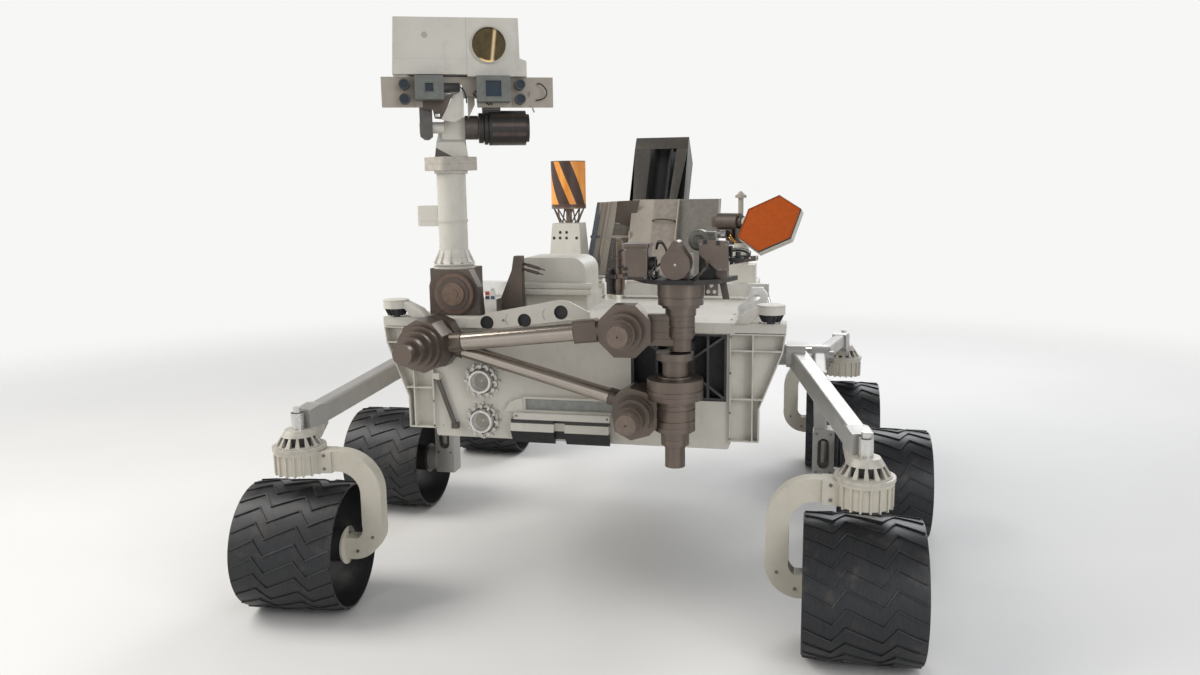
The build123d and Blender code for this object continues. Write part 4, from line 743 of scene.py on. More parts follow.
foot = Coat("helix_foot_coat", "white")
foot.over(foot.z.ramp(1.441, 1.443), (0.205, 0.155, 0.120), 0.38, 0.5)
HOLES = [(0.030, 1.392), (-0.006, 1.392), (0.064, 1.362), (0.030, 1.362), (-0.006, 1.362), (-0.062, 1.362)]
for dy, height in HOLES:
    reach = foot.reach("yz", (UHF[1] - dy, height))
    foot.over(reach.below(0.0080, 0.0088) * foot.x.ramp(-0.53, -0.528), (0.045, 0.030, 0.022), 0.6, 0.1)
foot_coat = foot.done()
print("helix aerial finishes ready")

# %% [markdown]
# ## Dish
# The dish is a six-sided plate, orange inside a dark rim, that points up and a little to the right. A
# Mapping node could turn its masks, but they still have to make a hexagon. So distances are measured
# along the dish's own axes: one for its depth, and three that are 60 degrees apart. The largest of
# those three is the same all round a hexagon, and its limit is the rim's inner edge.

# %% Dish face and rim
DISH, DISH_TURN, DISH_RISE, DISH_ROLL = Vector((-0.100, 0.676, 1.445)), -27.5, 37.4, 0.7
pointing = (Matrix.Rotation(math.radians(DISH_TURN), 3, "Z")
            @ Matrix.Rotation(-math.radians(DISH_RISE), 3, "Y")
            @ Matrix.Rotation(math.radians(DISH_ROLL), 3, "X"))
antenna = Coat("dish_coat", "white")
depth = antenna.along(DISH, pointing @ Vector((1, 0, 0)))
edge = None
for k in range(3):
    angle = math.radians(60 * k + 30)
    side = antenna.along(DISH, pointing @ Vector((0, math.sin(angle), math.cos(angle)))).size()
    edge = side if edge is None else edge.larger(side)
face = depth.ramp(0.0090, 0.0100)
antenna.over(face, (0.060, 0.050, 0.040), 0.5, 0.2)
DISH_RIM = 0.1376
inside_rim = edge.below(DISH_RIM - 0.0004, DISH_RIM + 0.0004)
antenna.over(face * inside_rim, (0.400, 0.070, 0.004), 0.75, 0.0, 0.12)
antenna.shader.inputs["Specular IOR Level"].default_value = 0.22
antenna.over(depth.below(-0.040, -0.030), (0.10, 0.088, 0.076), 0.4, 0.5)
dish_coat = antenna.done()
print("dish finish ready")

# %% [markdown]
# ## Generator and heat panels
# The generator is black, and greyer low down. The heat panels are one piece of several sheets. The blue
# strip is a colour of its own; the sheets of the folded front are painted darker step by step, and a side
# face darker still, as painted shade. Each sheet could be an object with one plain paint, but a solid
# piece stays whole, so masks of place tell the sheets apart.

# %% Generator, covers and panels
power = Coat("generator_coat", "black")
power.over(power.z.below(1.30, 1.34), (0.11, 0.10, 0.09), 0.45, 0.4)
generator_coat = power.done()

cover = Coat("generator_cover_coat", "black")
cover.over(1.0, (0.068, 0.060, 0.050), 0.55, 0.15)
cover_coat = cover.done()

# The tan of the panels, painted darker for the lower inner wall: painted shade.
inner = Coat("panel_foot_coat", "tan")
inner.over(1.0, (0.155, 0.140, 0.118), 0.55, 0.05)
shaded_tan_coat = inner.done()

sheet = Coat("heat_panel_coat", "tan")
front = sheet.y.between(-0.120, 0.380) * sheet.x.ramp(-0.80, -0.79)
# The middle and outer sheets of the front are painted darker, the outer most, as painted shade of the fold.
middle = front * sheet.y.ramp(0.005, 0.02) * sheet.y.below(0.147, 0.149)
sheet.over(middle, (0.31, 0.275, 0.23), 0.48, 0.05)
outer = front * sheet.y.ramp(0.1545, 0.1555) * sheet.y.below(0.367, 0.369)
sheet.over(outer, (0.20, 0.185, 0.16), 0.48, 0.05)
blue_strip = sheet.y.below(-0.29, -0.285) * sheet.x.below(-0.70, -0.69)
sheet.over(blue_strip, (0.145, 0.165, 0.19), 0.4, 0.3)
# A side face is painted dark as painted shade.
sheet.over(sheet.y.between(-0.285, -0.115) * sheet.x.between(-0.757, -0.747), (0.10, 0.092, 0.082), 0.5, 0.1)
sheet.over(sheet.x.below(-0.80, -0.795), (0.07, 0.066, 0.06), 0.5, 0.2)
panel_coat = sheet.done()
print("back finishes ready")

# %% [markdown]
# ## Turret
# The tools on the turret are brown like the arm, with darker faces and collars and thin joints where
# their cases part. Joints this fine need no mesh: a dark line with a slight dip in the bump reads as a
# gap. The patches of the small colour target on the deck are masks too.

# %% Tools, ring and small trim
tools = Coat("tool_coat", "brown")
tools.over(tools.y.between(0.170, 0.212) * tools.z.between(1.262, 1.448) * tools.x.below(1.075, 1.078),
           (0.215, 0.160, 0.125), 0.34, 0.6)
for height in (1.302, 1.368, 1.380, 1.436):
    joint = tools.z.line(height, 0.0012)
    tools.seam(tools.y.below(0.215, 0.22) * joint, 0.8)
tools.over(tools.y.below(0.1755, 0.1760) * tools.z.ramp(1.24, 1.25), (0.045, 0.042, 0.040), 0.5, 0.4)
tools.over(tools.z.between(1.3150, 1.3285) * tools.y.between(0.235, 0.340), (0.05, 0.045, 0.04), 0.5, 0.3)
tools.seam(tools.z.between(1.4265, 1.4285, 0.0003) * tools.y.between(0.235, 0.335), 0.9)
eye = tools.reach("xz", (1.210, 1.371))
tools.over(tools.y.ramp(0.3275, 0.3285) * tools.y.below(0.352, 0.354) * eye.below(0.030, 0.032),
           (0.035, 0.037, 0.038), 0.35, 0.5)
dot = tools.reach("yz", (0.425, 1.373))
tools.over(dot.below(0.0035, 0.0042) * tools.x.ramp(1.290, 1.292), (0.62, 0.60, 0.56), 0.25, 1.0)
tools.seam(dot.between(0.0435, 0.0448, 0.0003) * tools.x.ramp(1.290, 1.292), 0.6)
sensor = tools.y.between(0.486, 0.592) * tools.x.below(1.185, 1.188)
tools.over(sensor, (0.040, 0.038, 0.036), 0.5, 0.3)
tools_coat = tools.done()

ring = Coat("turret_frame_coat", "brown")
# The wide plate under the tools is painted near-black as painted shade, so that it reads as shadowed
# clutter.
ring.over(ring.z.between(1.3015, 1.3190), (0.032, 0.029, 0.027), 0.55, 0.3)
for height in (1.224, 1.252):
    ring.seam(ring.z.line(height, 0.0010, 0.0004), 0.8)
ring_coat = ring.done(0.18)

shell = Coat("camera_grey_coat", "tan")
shell.over(1.0, (0.135, 0.130, 0.108), 0.46, 0.2)
camera_grey = shell.done()

gold_lead = bare_metal("gold_lead", (0.72, 0.42, 0.13), (0.55, 0.30, 0.09), (6.0, 6.0, 6.0), 0.3)

target = Coat("colour_target_coat", "white")
across, up = target.y + 0.364, target.z - 1.2158
target.over(across.between(-0.019, -0.002) * up.between(0.001, 0.015), (0.34, 0.030, 0.020), 0.5, 0.0)
target.over(across.between(0.003, 0.019) * up.between(-0.015, -0.002), (0.030, 0.10, 0.20), 0.5, 0.0)
target.over(across.between(-0.019, -0.002) * up.between(-0.015, -0.002), (0.045, 0.040, 0.035), 0.5, 0.0)
target_coat = target.done()
print("turret and trim finishes ready")

# %% [markdown]
# ## Giving each solid piece its finish
# A CAD piece is never moved or changed here: its material slot alone gets a better material. Most
# pieces take the paint of their slot in the record, and those with details of their own are named.

# %% Finish of each solid piece
paint_of_slot = {
    "wheel_metal": hub_metal, "body_paint": white, "suspension_paint": grey, "arm_metal": brown,
    "mast_metal": hinge_coat, "tube_metal": upper_coat, "bright_metal": plain_metal,
    "dark_metal": black, "orange_shell": can_coat,
}
paint_of_piece = {
    "body": body_coat, "deck": deck_coat, "corner_pucks": puck_coat, "front_shelf": shelf_coat,
    "bit_boxes": bits_coat, "stow_plate": stow_coat, "differential": bright_metal,
    "shoulder_mount": mount_coat, "shoulder": shoulder_coat, "upper_arm": upper_coat,
    "forearm": fore_coat, "wrist": wrist_coat, "turret_tools": tools_coat, "turret_frame": ring_coat,
    "rocker_left": front_arm, "rocker_right": front_arm, "bogie_left": rear_arm,
    "bogie_right": rear_arm, "mast_tube": mast_coat, "mast_neck": neck_coat,
    "head_frame": bar_coat, "head_box": head_coat, "head_cameras": camera_coat,
    "uhf_foot": foot_coat, "uhf_aerial": can_coat, "low_gain_aerial": tan, "dish": dish_coat,
    "deck_wedge": umber, "dish_gimbal": umber, "generator": generator_coat, "heat_panels": panel_coat,
}
paint_of_piece |= {name: corner_coat for name in nodes if name.startswith("knuckle_")}
slot_of = {row["node"]: row["material_slot"] for row in frame["record"]["subparts"]}
body_of = {name: body for body, names in frame["record"]["behaviour"]["bodies"].items() for name in names}
for name, piece in nodes.items():
    piece.data.materials.clear()
    piece.data.materials.append(paint_of_piece.get(name, paint_of_slot[slot_of[name]]))
print("finished", len(nodes), "solid pieces,", len(set(paint_of_piece)), "of them by name")

# %% [markdown]
# ## Tools for the small pieces
# The rest is modelled as by hand: a primitive is added, faces are selected in code by their place or
# normal, and then inset, extruded or spun. Two habits keep this safe. Everything is deselected first,
# because an operator acts on all that is selected. And a finished piece has its place in its mesh,
# with the object at the origin, so that patterns stay put.

# %% Draw and shape
def fresh():
    """Leave edit mode with nothing selected."""
    if bpy.context.object and bpy.context.object.mode != "OBJECT":
        bpy.ops.object.mode_set(mode="OBJECT")
    bpy.ops.object.select_all(action="DESELECT")


def push(offset):
    """Extrude what is selected by an offset."""
    bpy.ops.mesh.extrude_region_move(TRANSFORM_OT_translate={"value": offset})


def trace(points):
    """A line of vertices, drawn by extruding one vertex from point to point."""
    fresh()
    bpy.ops.mesh.primitive_plane_add(size=0.001)
    piece = bpy.context.object
    bpy.ops.object.mode_set(mode="EDIT")
    bpy.ops.mesh.select_mode(type="VERT")
    bpy.ops.mesh.select_all(action="SELECT")
    bpy.ops.mesh.merge(type="CENTER")
    bpy.ops.transform.translate(value=points[0])
    for start, end in zip(points, points[1:]):
        push(Vector(end) - Vector(start))
    return piece


def use(piece, kind, **settings):
    """Add a modifier and apply it."""
    bpy.ops.object.mode_set(mode="OBJECT")
    bpy.context.view_layer.objects.active = piece
    change = piece.modifiers.new(kind.lower(), kind)
    for key, value in settings.items():
        setattr(change, key, value)
    bpy.ops.object.modifier_apply(modifier=change.name)


def tidy_normals(piece):
    """Merge doubles, then turn every face outwards."""
    bpy.ops.object.mode_set(mode="OBJECT")
    bpy.context.view_layer.objects.active = piece
    bpy.ops.object.mode_set(mode="EDIT")
    bpy.ops.mesh.select_all(action="SELECT")
    bpy.ops.mesh.remove_doubles(threshold=0.00002)
    bpy.ops.mesh.normals_make_consistent(inside=False)
    bpy.ops.object.mode_set(mode="OBJECT")


print("drawing helpers ready")


# %% Finish and copy
def finished(piece, name, body, coat, smooth=35):
    """Freeze the piece's place into its mesh, name it, and let it ride on its body."""
    fresh()
    piece.select_set(True)
    bpy.context.view_layer.objects.active = piece
    bpy.ops.object.transform_apply(location=True, rotation=True, scale=True)
    if smooth:
        bpy.ops.object.shade_smooth_by_angle(angle=math.radians(smooth))
    piece.name = piece.data.name = name
    piece.data.materials.clear()
    piece.data.materials.append(coat)
    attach(piece, body)
    return piece


def repeated(master, places):
    """One object whose own mesh holds a copy of the master at each place."""
    joined = bmesh.new()
    for place in places:
        start, first = len(joined.verts), len(joined.faces)
        joined.from_mesh(master.data)
        joined.verts.ensure_lookup_table()
        joined.faces.ensure_lookup_table()
        bmesh.ops.transform(joined, matrix=place @ master.matrix_world, verts=joined.verts[start:])
        if place.to_3x3().determinant() < 0:
            bmesh.ops.reverse_faces(joined, faces=joined.faces[first:])
    mesh = bpy.data.meshes.new("copies")
    joined.to_mesh(mesh)
    joined.free()
    piece = bpy.data.objects.new("copies", mesh)
    bpy.context.scene.collection.objects.link(piece)
    return piece


def forget(master):
    """Remove a shape that was only drawn to be copied."""
    bpy.data.objects.remove(master)


print("finishing helpers ready")

# %% [markdown]
# ## Wheels
# Each wheel is one thin machined shell with a slight crown, a bead at both edges, and 24 cleats that
# cross it in a five-legged zigzag. A texture could draw the cleats, but they stand 6 mm proud and
# catch the light at their edges. So the shell's section is drawn and spun, one cleat is drawn as a
# line on it, raised and given its thickness, and copied round. It replaces the solid model's skin,
# which has flat facets to keep its faces few.

# %% One wheel shell with its cleats
def crown(across):
    """Outer radius of the shell at a distance from its middle plane."""
    return 0.2474 - 0.0052 * (abs(across) / 0.2) ** 3


def wheel_shell():
    stations = [-0.1985, -0.190, -0.17, -0.14, -0.10, -0.05, 0, 0.05, 0.10, 0.14, 0.17, 0.190, 0.1985]
    outside = [(crown(y), y, 0) for y in stations]
    bead = [(0.2400, 0.1998, 0), (0.2360, 0.1985, 0), (0.2355, 0.1900, 0), (0.2385, 0.1870, 0)]
    inside = [(0.2385, 0.15, 0), (0.2425, 0.10, 0), (0.2430, 0.0, 0), (0.2425, -0.10, 0), (0.2385, -0.15, 0)]
    back = [(r, -y, 0) for r, y, _ in reversed(bead)]
    shell = trace(outside + bead + inside + back + outside[:1])
    bpy.ops.mesh.select_all(action="SELECT")
    bpy.ops.mesh.spin(steps=96, angle=2 * math.pi, center=(0, 0, 0), axis=(0, 1, 0))
    tidy_normals(shell)
    return shell


LEGS = [(-0.1945, -0.0055), (-0.146, 0.0155), (-0.103, 0.0365), (-0.059, -0.0255), (0.0, 0.0),
        (0.059, 0.0255), (0.103, -0.0365), (0.146, -0.0155), (0.1945, 0.0055)]


def cleat():
    """One zigzag cleat, standing on the shell where it faces ahead."""
    line = []
    for across, swing in LEGS:
        radius = crown(across) - 0.0012
        turn = swing / radius
        line.append((radius * math.cos(turn), across, radius * math.sin(turn)))
    bar = trace(line)
    bpy.ops.mesh.select_mode(type="EDGE")
    bpy.ops.mesh.select_all(action="SELECT")
    push((0.0072, 0, 0))
    use(bar, "SOLIDIFY", thickness=0.0062, offset=0.0, use_even_offset=True)
    use(bar, "BEVEL", width=0.0011, segments=1, limit_method="ANGLE", angle_limit=math.radians(50))
    tidy_normals(bar)
    return bar


shell, bar = wheel_shell(), cleat()
CLEATS = 24
turns = [Matrix.Rotation(2 * math.pi * k / CLEATS, 4, "Y") for k in range(CLEATS)]
cleats = repeated(bar, turns)
fresh()
shell.select_set(True)
cleats.select_set(True)
bpy.context.view_layer.objects.active = shell
bpy.ops.object.join()
forget(bar)
print("wheel shell:", len(shell.data.polygons), "faces")

# %% Six wheels
WHEELS = [
    # name, x, half track, side, steering angle as parked
    ("front_left", FRONT_X, END_TRACK, 1, 0), ("front_right", FRONT_X, END_TRACK, -1, 6.33),
    ("middle_left", 0, MIDDLE_TRACK, 1, 0), ("middle_right", 0, MIDDLE_TRACK, -1, 0),
    ("rear_left", REAR_X, END_TRACK, 1, 0), ("rear_right", REAR_X, END_TRACK, -1, 0),
]


def at_wheel(x, half_track, side, turn):
    """From a wheel drawn round the origin, its outer side to +Y, to its corner of the vehicle."""
    handed = Matrix.Identity(4) if side > 0 else Matrix.Scale(-1, 4, (0, 1, 0))
    steered = Matrix.Rotation(math.radians(turn), 4, "Z")
    return Matrix.Translation((x, side * half_track, AXLE_Z)) @ steered @ handed


for name, *place in WHEELS:
    tyre = repeated(shell, [at_wheel(*place) @ Matrix.Scale(-1, 4, (0, 1, 0))])
    finished(tyre, f"tyre_{name}", f"wheel_{name}", wheel_skin, 30)
    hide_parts(f"rim_{name}")
forget(shell)
print("six wheels")

# %% [markdown]
# ## Bolts
# Cap screws hold the steering units, the front fittings and the deck plates. One is modelled with its
# washer, rim and socket, and every group of them is one joined mesh of copies. They could be bumps in
# the paint, but raised heads throw small shadows at the edges where the eye looks for them.

# %% One cap screw
def pick(piece, kind, test):
    """In edit mode, select the faces, edges or vertices that pass a test."""
    bpy.ops.object.mode_set(mode="EDIT")
    bpy.ops.mesh.select_mode(type={"faces": "FACE", "edges": "EDGE", "verts": "VERT"}[kind])
    bpy.ops.mesh.select_all(action="DESELECT")
    mesh = bmesh.from_edit_mesh(piece.data)
    for part in getattr(mesh, kind):
        if test(part):
            part.select_set(True)
    mesh.select_flush_mode()
    bmesh.update_edit_mesh(piece.data)


def looking(point, normal, size=1.0):
    """A place for a master drawn standing on the ground, so that it stands on a surface."""
    turn = Vector(normal).to_track_quat("Z", "Y").to_matrix().to_4x4()
    return Matrix.Translation(point) @ turn @ Matrix.Scale(size, 4)


fresh()
bpy.ops.mesh.primitive_cylinder_add(vertices=10, radius=0.0066, depth=0.0014, location=(0, 0, 0.0007))
screw = bpy.context.object
pick(screw, "faces", lambda face: face.normal.z > 0.9)
bpy.ops.mesh.inset(thickness=0.0018)
push((0, 0, 0.0036))
bpy.ops.mesh.inset(thickness=0.0006)
bpy.ops.transform.translate(value=(0, 0, 0.0006))
bpy.ops.mesh.inset(thickness=0.0016)
push((0, 0, -0.0022))
bpy.ops.object.mode_set(mode="OBJECT")
bpy.ops.object.transform_apply(location=True)
print("cap screw:", len(screw.data.polygons), "faces")


def screws(name, body, places, size=1.0, coat=None):
    """A group of screws from points and outward directions."""
    group = repeated(screw, [looking(point, normal, size) for point, normal in places])
    return finished(group, name, body, coat or dull_metal, 40)


# %% Screws on the wheels and steering units
# across, up and out from the strut's middle plane
STRUT_SPOTS = [(-0.112, 0.372, 0.039), (-0.112, 0.320, 0.039), (-0.288, 0.045, 0.033),
               (-0.225, -0.012, 0.033)]
for name, x, half_track, side, turn in WHEELS:
    corner = at_wheel(x, half_track, side, turn)
    ring = [(0.050, math.radians(30 * k)) for k in range(12)]
    spots = [(corner @ Vector((r * math.cos(a), 0.150, r * math.sin(a))), (0, side, 0)) for r, a in ring]
    ring = [(0.028, math.radians(60 * k + 30)) for k in range(6)]
    spots += [(corner @ Vector((r * math.cos(a), 0.164, r * math.sin(a))), (0, side, 0)) for r, a in ring]
    screws(f"hub_screws_{name}", f"wheel_{name}", spots, 0.9, plain_metal)
    if name.startswith("middle"):
        continue
    spots = []
    for front in (1, -1):
        normal = (corner.to_3x3() @ Vector((front, 0, 0)))
        for y, z, out in STRUT_SPOTS:
            spots.append((corner @ Vector((front * out, y, z)), normal))
    screws(f"strut_screws_{name}", f"steering_{name}", spots, 1.0)

for side, place in ((1, "left"), (-1, "right")):
    face = 0.0457
    spots = [(Vector((face, side * y, z)), (1, 0, 0)) for y in (0.911, 0.975) for z in (0.484, 0.300)]
    spots += [((0.420 + 0.052 * math.cos(a), side * 0.853, 0.925 + 0.030 * math.sin(a)), (0, side, 0))
              for a in [math.radians(45 + 90 * k) for k in range(4)]]
    spots += [((-0.450 + 0.046 * math.cos(a), side * 0.968, 0.760 + 0.046 * math.sin(a)), (0, side, 0))
              for a in [math.radians(60 * k) for k in range(6)]]
    screws(f"arm_screws_{place}", "chassis", spots, 1.0)
print("running gear screws set")

# %% Screws on the body, deck and front
spots = []
upwards = (0, 0, 1)
for x in [-0.70 + 0.145 * k for k in range(12)]:
    spots += [(Vector((x, side * 0.582, 1.135)), upwards) for side in (1, -1)]
for y in [-0.50 + 0.125 * k for k in range(9)]:
    spots.append((Vector((-0.722, y, 1.135)), upwards))
for x in (-0.345, 0.065, 0.735):
    spots += [(Vector((x, y, 1.135)), upwards) for y in (-0.42, -0.18, 0.18, 0.42)]
for y in (0.62, 0.69, 0.76):
    spots += [(Vector((0.967, side * y, 1.135)), upwards) for side in (1, -1)]
for x in [-0.62 + 0.176 * k for k in range(10)]:
    for side in (1, -1):
        spots += [(Vector((x, side * 0.583, z)), (0, side, 0)) for z in (0.682, 1.078)]
for y in (-0.52, -0.30, -0.10, 0.10, 0.30, 0.52):
    spots += [(Vector((-0.700, y, z)), (-1, 0, 0)) for z in (0.70, 1.05)]
spots += [(Vector((0.9702, y, z)), (1, 0, 0)) for y in (-0.555, 0.190) for z in (0.70, 0.86, 1.02)]
screws("body_screws", "chassis", spots, 0.8, white)

spots = [(Vector((1.0062, y, 0.760)), (1, 0, 0)) for y in (-0.236, 0.124)]
spots += [(Vector((0.9972, y, 1.132)), (1, 0, 0)) for y in (-0.28, 0.02)]
spots += [(Vector((0.9855, side * y, z)), (1, 0, 0)) for side in (1, -1)
          for y, z in ((0.5855, 1.085), (0.5855, 0.95), (0.5855, 0.80), (0.5855, 0.70))]
screws("front_screws", "chassis", spots, 0.72)

FOOT_CIRCLE = 0.0795
spots = []
for k in range(12):
    a = math.radians(30 * k + 15)
    x, y = MAST[0] + FOOT_CIRCLE * math.cos(a), MAST[1] + FOOT_CIRCLE * math.sin(a)
    spots.append((Vector((x, y, 1.3362)), upwards))
screws("mast_foot_screws", "chassis", spots, 0.62)
print("body screws set")

# %% [markdown]
# ## Plates and their places
# Brackets, covers and panels are sheet parts. Each is drawn as its outline, filled, given a thickness
# and broken at its edges. A cube that is scaled flat would be quicker, but it has no real outline
# and its edges are too sharp to catch light. An outline is drawn in its own flat frame (left, up), and
# a matrix sets it in the vehicle or in the head, which is parked turned to the left.

# %% Plate helper
def facing(ahead):
    """A frame whose flat directions are left and up, at a distance ahead."""
    return Matrix(((0, 0, 1, ahead), (1, 0, 0, 0), (0, 1, 0, 0), (0, 0, 0, 1)))


PARKED_HEAD = Matrix.Translation((*MAST, 0)) @ Matrix.Rotation(math.radians(HEAD_TURN), 4, "Z")


def on_head(ahead):
    """The same, in the head as it is parked."""
    return PARKED_HEAD @ facing(ahead)


def plate(outline, thick, place, edge=0.0008):
    """A flat plate from its outline, its thickness and where it stands."""
    piece = trace([(a, b, 0) for a, b in [*outline, outline[0]]])
    bpy.ops.mesh.select_all(action="SELECT")
    bpy.ops.mesh.remove_doubles(threshold=0.00002)
    bpy.ops.mesh.select_all(action="SELECT")
    bpy.ops.mesh.edge_face_add()
    push((0, 0, thick))
    use(piece, "BEVEL", width=edge, segments=2, limit_method="ANGLE", angle_limit=math.radians(35))
    tidy_normals(piece)
    piece.matrix_world = place
    return piece


def oblong(low, high, edge=0.0015, inset=0.0, dip=0.0):
    """A box between two corners with broken edges, and a sunk panel on the side that faces ahead."""
    fresh()
    middle = [(a + b) / 2 for a, b in zip(low, high)]
    bpy.ops.mesh.primitive_cube_add(size=1, location=middle)
    piece = bpy.context.object
    piece.scale = [b - a for a, b in zip(low, high)]
    bpy.ops.object.transform_apply(location=True, scale=True)
    if inset:
        pick(piece, "faces", lambda face: face.normal.x > 0.9)
        bpy.ops.mesh.inset(thickness=inset)
        push((-dip, 0, 0))
    use(piece, "BEVEL", width=edge, segments=2, limit_method="ANGLE", angle_limit=math.radians(35))
    return piece


def together(pieces):
    """Join several drawn pieces into one object."""
    for piece in pieces:
        fresh()
        piece.select_set(True)
        bpy.context.view_layer.objects.active = piece
        bpy.ops.object.transform_apply(location=True, rotation=True, scale=True)
    fresh()
    for piece in pieces:
        piece.select_set(True)
    bpy.context.view_layer.objects.active = pieces[0]
    bpy.ops.object.join()
    return pieces[0]


print("plate helper ready")

# %% [markdown]
# ## Head
# Between the camera bar and the tilt drum there is a pale bracket, a dark slanted cover beside it, a
# black connector block on top, and bright clips. One carved block could stand for them all, but their
# gaps and edges are what shows, so each is a plate or a box of its own. They ride on the head, because
# they nod with it. The bracket and the cover stand far enough ahead to pass over the neck when the
# head looks straight up.

# %% Bracket, cover, connector and strips
HEAD = body_of["head_box"]
CLEAR_OF_NECK = 0.1042
yoke = plate([(0.019, 1.985), (0.060, 2.010), (0.057, 1.905), (0.020, 1.884), (-0.030, 1.896)], 0.012,
             on_head(CLEAR_OF_NECK), 0.002)
finished(yoke, "head_bracket", HEAD, white)

cover = plate([(-0.096, 1.965), (-0.088, 1.975), (-0.040, 1.975), (0.018, 1.992), (-0.026, 1.897),
               (-0.054, 1.900), (-0.060, 1.932), (-0.096, 1.936)], 0.010, on_head(CLEAR_OF_NECK), 0.0012)
finished(cover, "head_cover", HEAD, umber)

block = oblong((0.104, -0.020, 2.000), (0.132, 0.045, 2.031), 0.002, 0.005, 0.004)
block.matrix_world = PARKED_HEAD
LUG_BOXES = [
    # left, up, width, height
    (-0.092, 1.968, 0.026, 0.006), (-0.050, 1.975, 0.016, 0.006), (-0.018, 1.990, 0.030, 0.003),
    (-0.052, 1.905, 0.018, 0.012), (0.046, 2.000, 0.007, 0.026),
]
lugs = []
for left, high, wide, tall in LUG_BOXES:
    lug = oblong((0.110, left, high), (0.119, left + wide, high + tall), 0.0008)
    lug.matrix_world = block.matrix_world
    lugs.append(lug)
finished(block, "head_connector", HEAD, black)
finished(together(lugs), "head_clips", HEAD, plain_metal)

strips = [plate([(0.074, 2.050), (0.100, 2.050), (0.101, 1.952), (0.074, 1.900)], 0.006, on_head(0.092)),
          plate([(0.316, 1.950), (0.322, 1.950), (0.332, 1.922), (0.326, 1.921)], 0.005, on_head(0.118)),
          plate([(0.314, 2.004), (0.318, 2.004), (0.318, 1.983), (0.314, 1.983)], 0.006, on_head(0.118))]
finished(together(strips), "head_strips", HEAD, tan)
print("head clips:", len(lugs), "strips:", len(strips))

# %% [markdown]
# ## Cables
# Short cables join the head's parts and bend smoothly between two fixed ends. They could be extruded
# ring by ring, but a curve with a round bevel keeps its thickness in every bend, and its route is only
# a few points. It is made a mesh in the end, so that its place can be frozen like that of any piece.

# %% Cables of the head
def wire(name, points, radius, body, coat, sides=3):
    """Fixed wiring: a smooth curve with a round section, made a mesh."""
    fresh()
    line = bpy.data.curves.new(name, "CURVE")
    line.dimensions = "3D"
    line.bevel_depth, line.bevel_resolution, line.resolution_u = radius, sides, 6
    line.use_fill_caps = True
    for run in points if isinstance(points[0][0], (tuple, list, Vector)) else [points]:
        spline = line.splines.new("NURBS")
        spline.points.add(len(run) - 1)
        for spot, place in zip(spline.points, run):
            spot.co = (*place, 1)
        spline.order_u, spline.use_endpoint_u = 3, True
    piece = bpy.data.objects.new(name, line)
    bpy.context.scene.collection.objects.link(piece)
    piece.select_set(True)
    bpy.context.view_layer.objects.active = piece
    bpy.ops.object.convert(target="MESH")
    return finished(bpy.context.object, name, body, coat, 60)


def head_run(points):
    """Points given as left and up, just ahead of the bar, brought to the vehicle's frame."""
    return [on_head(ahead) @ Vector((left, high, 0)) for ahead, left, high in points]


cables = [
    head_run([(0.116, 0.344, 2.030), (0.132, 0.352, 2.030), (0.134, 0.366, 2.020), (0.134, 0.380, 2.002),
              (0.134, 0.376, 1.980), (0.130, 0.356, 1.968), (0.116, 0.338, 1.968)]),
    head_run([(0.100, 0.100, 2.008), (0.122, 0.106, 1.998), (0.124, 0.120, 1.980), (0.124, 0.140, 1.966),
              (0.118, 0.166, 1.956), (0.104, 0.168, 1.950)]),
    head_run([(0.100, 0.092, 2.000), (0.118, 0.098, 1.990), (0.120, 0.112, 1.970), (0.118, 0.148, 1.958),
              (0.104, 0.162, 1.946)]),
    head_run([(0.112, 0.044, 2.016), (0.124, 0.054, 2.014), (0.124, 0.064, 1.996), (0.114, 0.070, 1.972),
              (0.100, 0.070, 1.960)]),
    head_run([(0.112, -0.020, 2.012), (0.122, -0.032, 2.010), (0.122, -0.040, 1.994),
              (0.112, -0.044, 1.976)]),
]
wire("head_cables", cables, 0.0026, HEAD, black)
print("head cables:", len(cables))

# %% [markdown]
# ## Mast foot
# The mast stands on a flared casting with webs between its bolts. The solid model has a plain cone
# there. A flare could be added to it as one more cone, but the webs are what the eye finds, so one web
# is drawn as a triangular plate and set round the mast, and the flare is a section that is spun.

# %% Flare with webs
flare = trace([(0.0838, 0, 1.3305), (0.0838, 0, 1.3345), (0.0765, 0, 1.3385), (0.0690, 0, 1.3520),
               (0.0630, 0, 1.3700), (0.0592, 0, 1.3900), (0.0581, 0, 1.3900)])
bpy.ops.mesh.select_all(action="SELECT")
bpy.ops.mesh.spin(steps=64, angle=2 * math.pi, center=(0, 0, 0), axis=(0, 0, 1))
tidy_normals(flare)
standing = Matrix(((1, 0, 0, 0), (0, 0, -1, 0.002), (0, 1, 0, 0), (0, 0, 0, 1)))
web = plate([(0.0575, 1.3920), (0.0600, 1.3920), (0.0818, 1.3420), (0.0818, 1.3340), (0.0575, 1.3340)],
            0.004, standing)
around_mast = [Matrix.Translation((*MAST, 0)) @ Matrix.Rotation(math.radians(30 * k + 8), 4, "Z")
               for k in range(12)]
webs = repeated(web, around_mast)
forget(web)
flare.location = (*MAST, 0)
finished(together([flare, webs]), "mast_flare", "chassis", mast_coat)
print("mast foot made")

# %% [markdown]
# ## Deck fittings
# The plate on the deck's edge has holes with painted shade behind them, the tank has a stepped ledge on
# its front and two probes beside it, and pale arms run from the round housings to the deck. The shade
# in the holes could be painted on the plate, but what shows through them is behind the plate, so each
# gets a shallow dark dish that stands for the shade there.

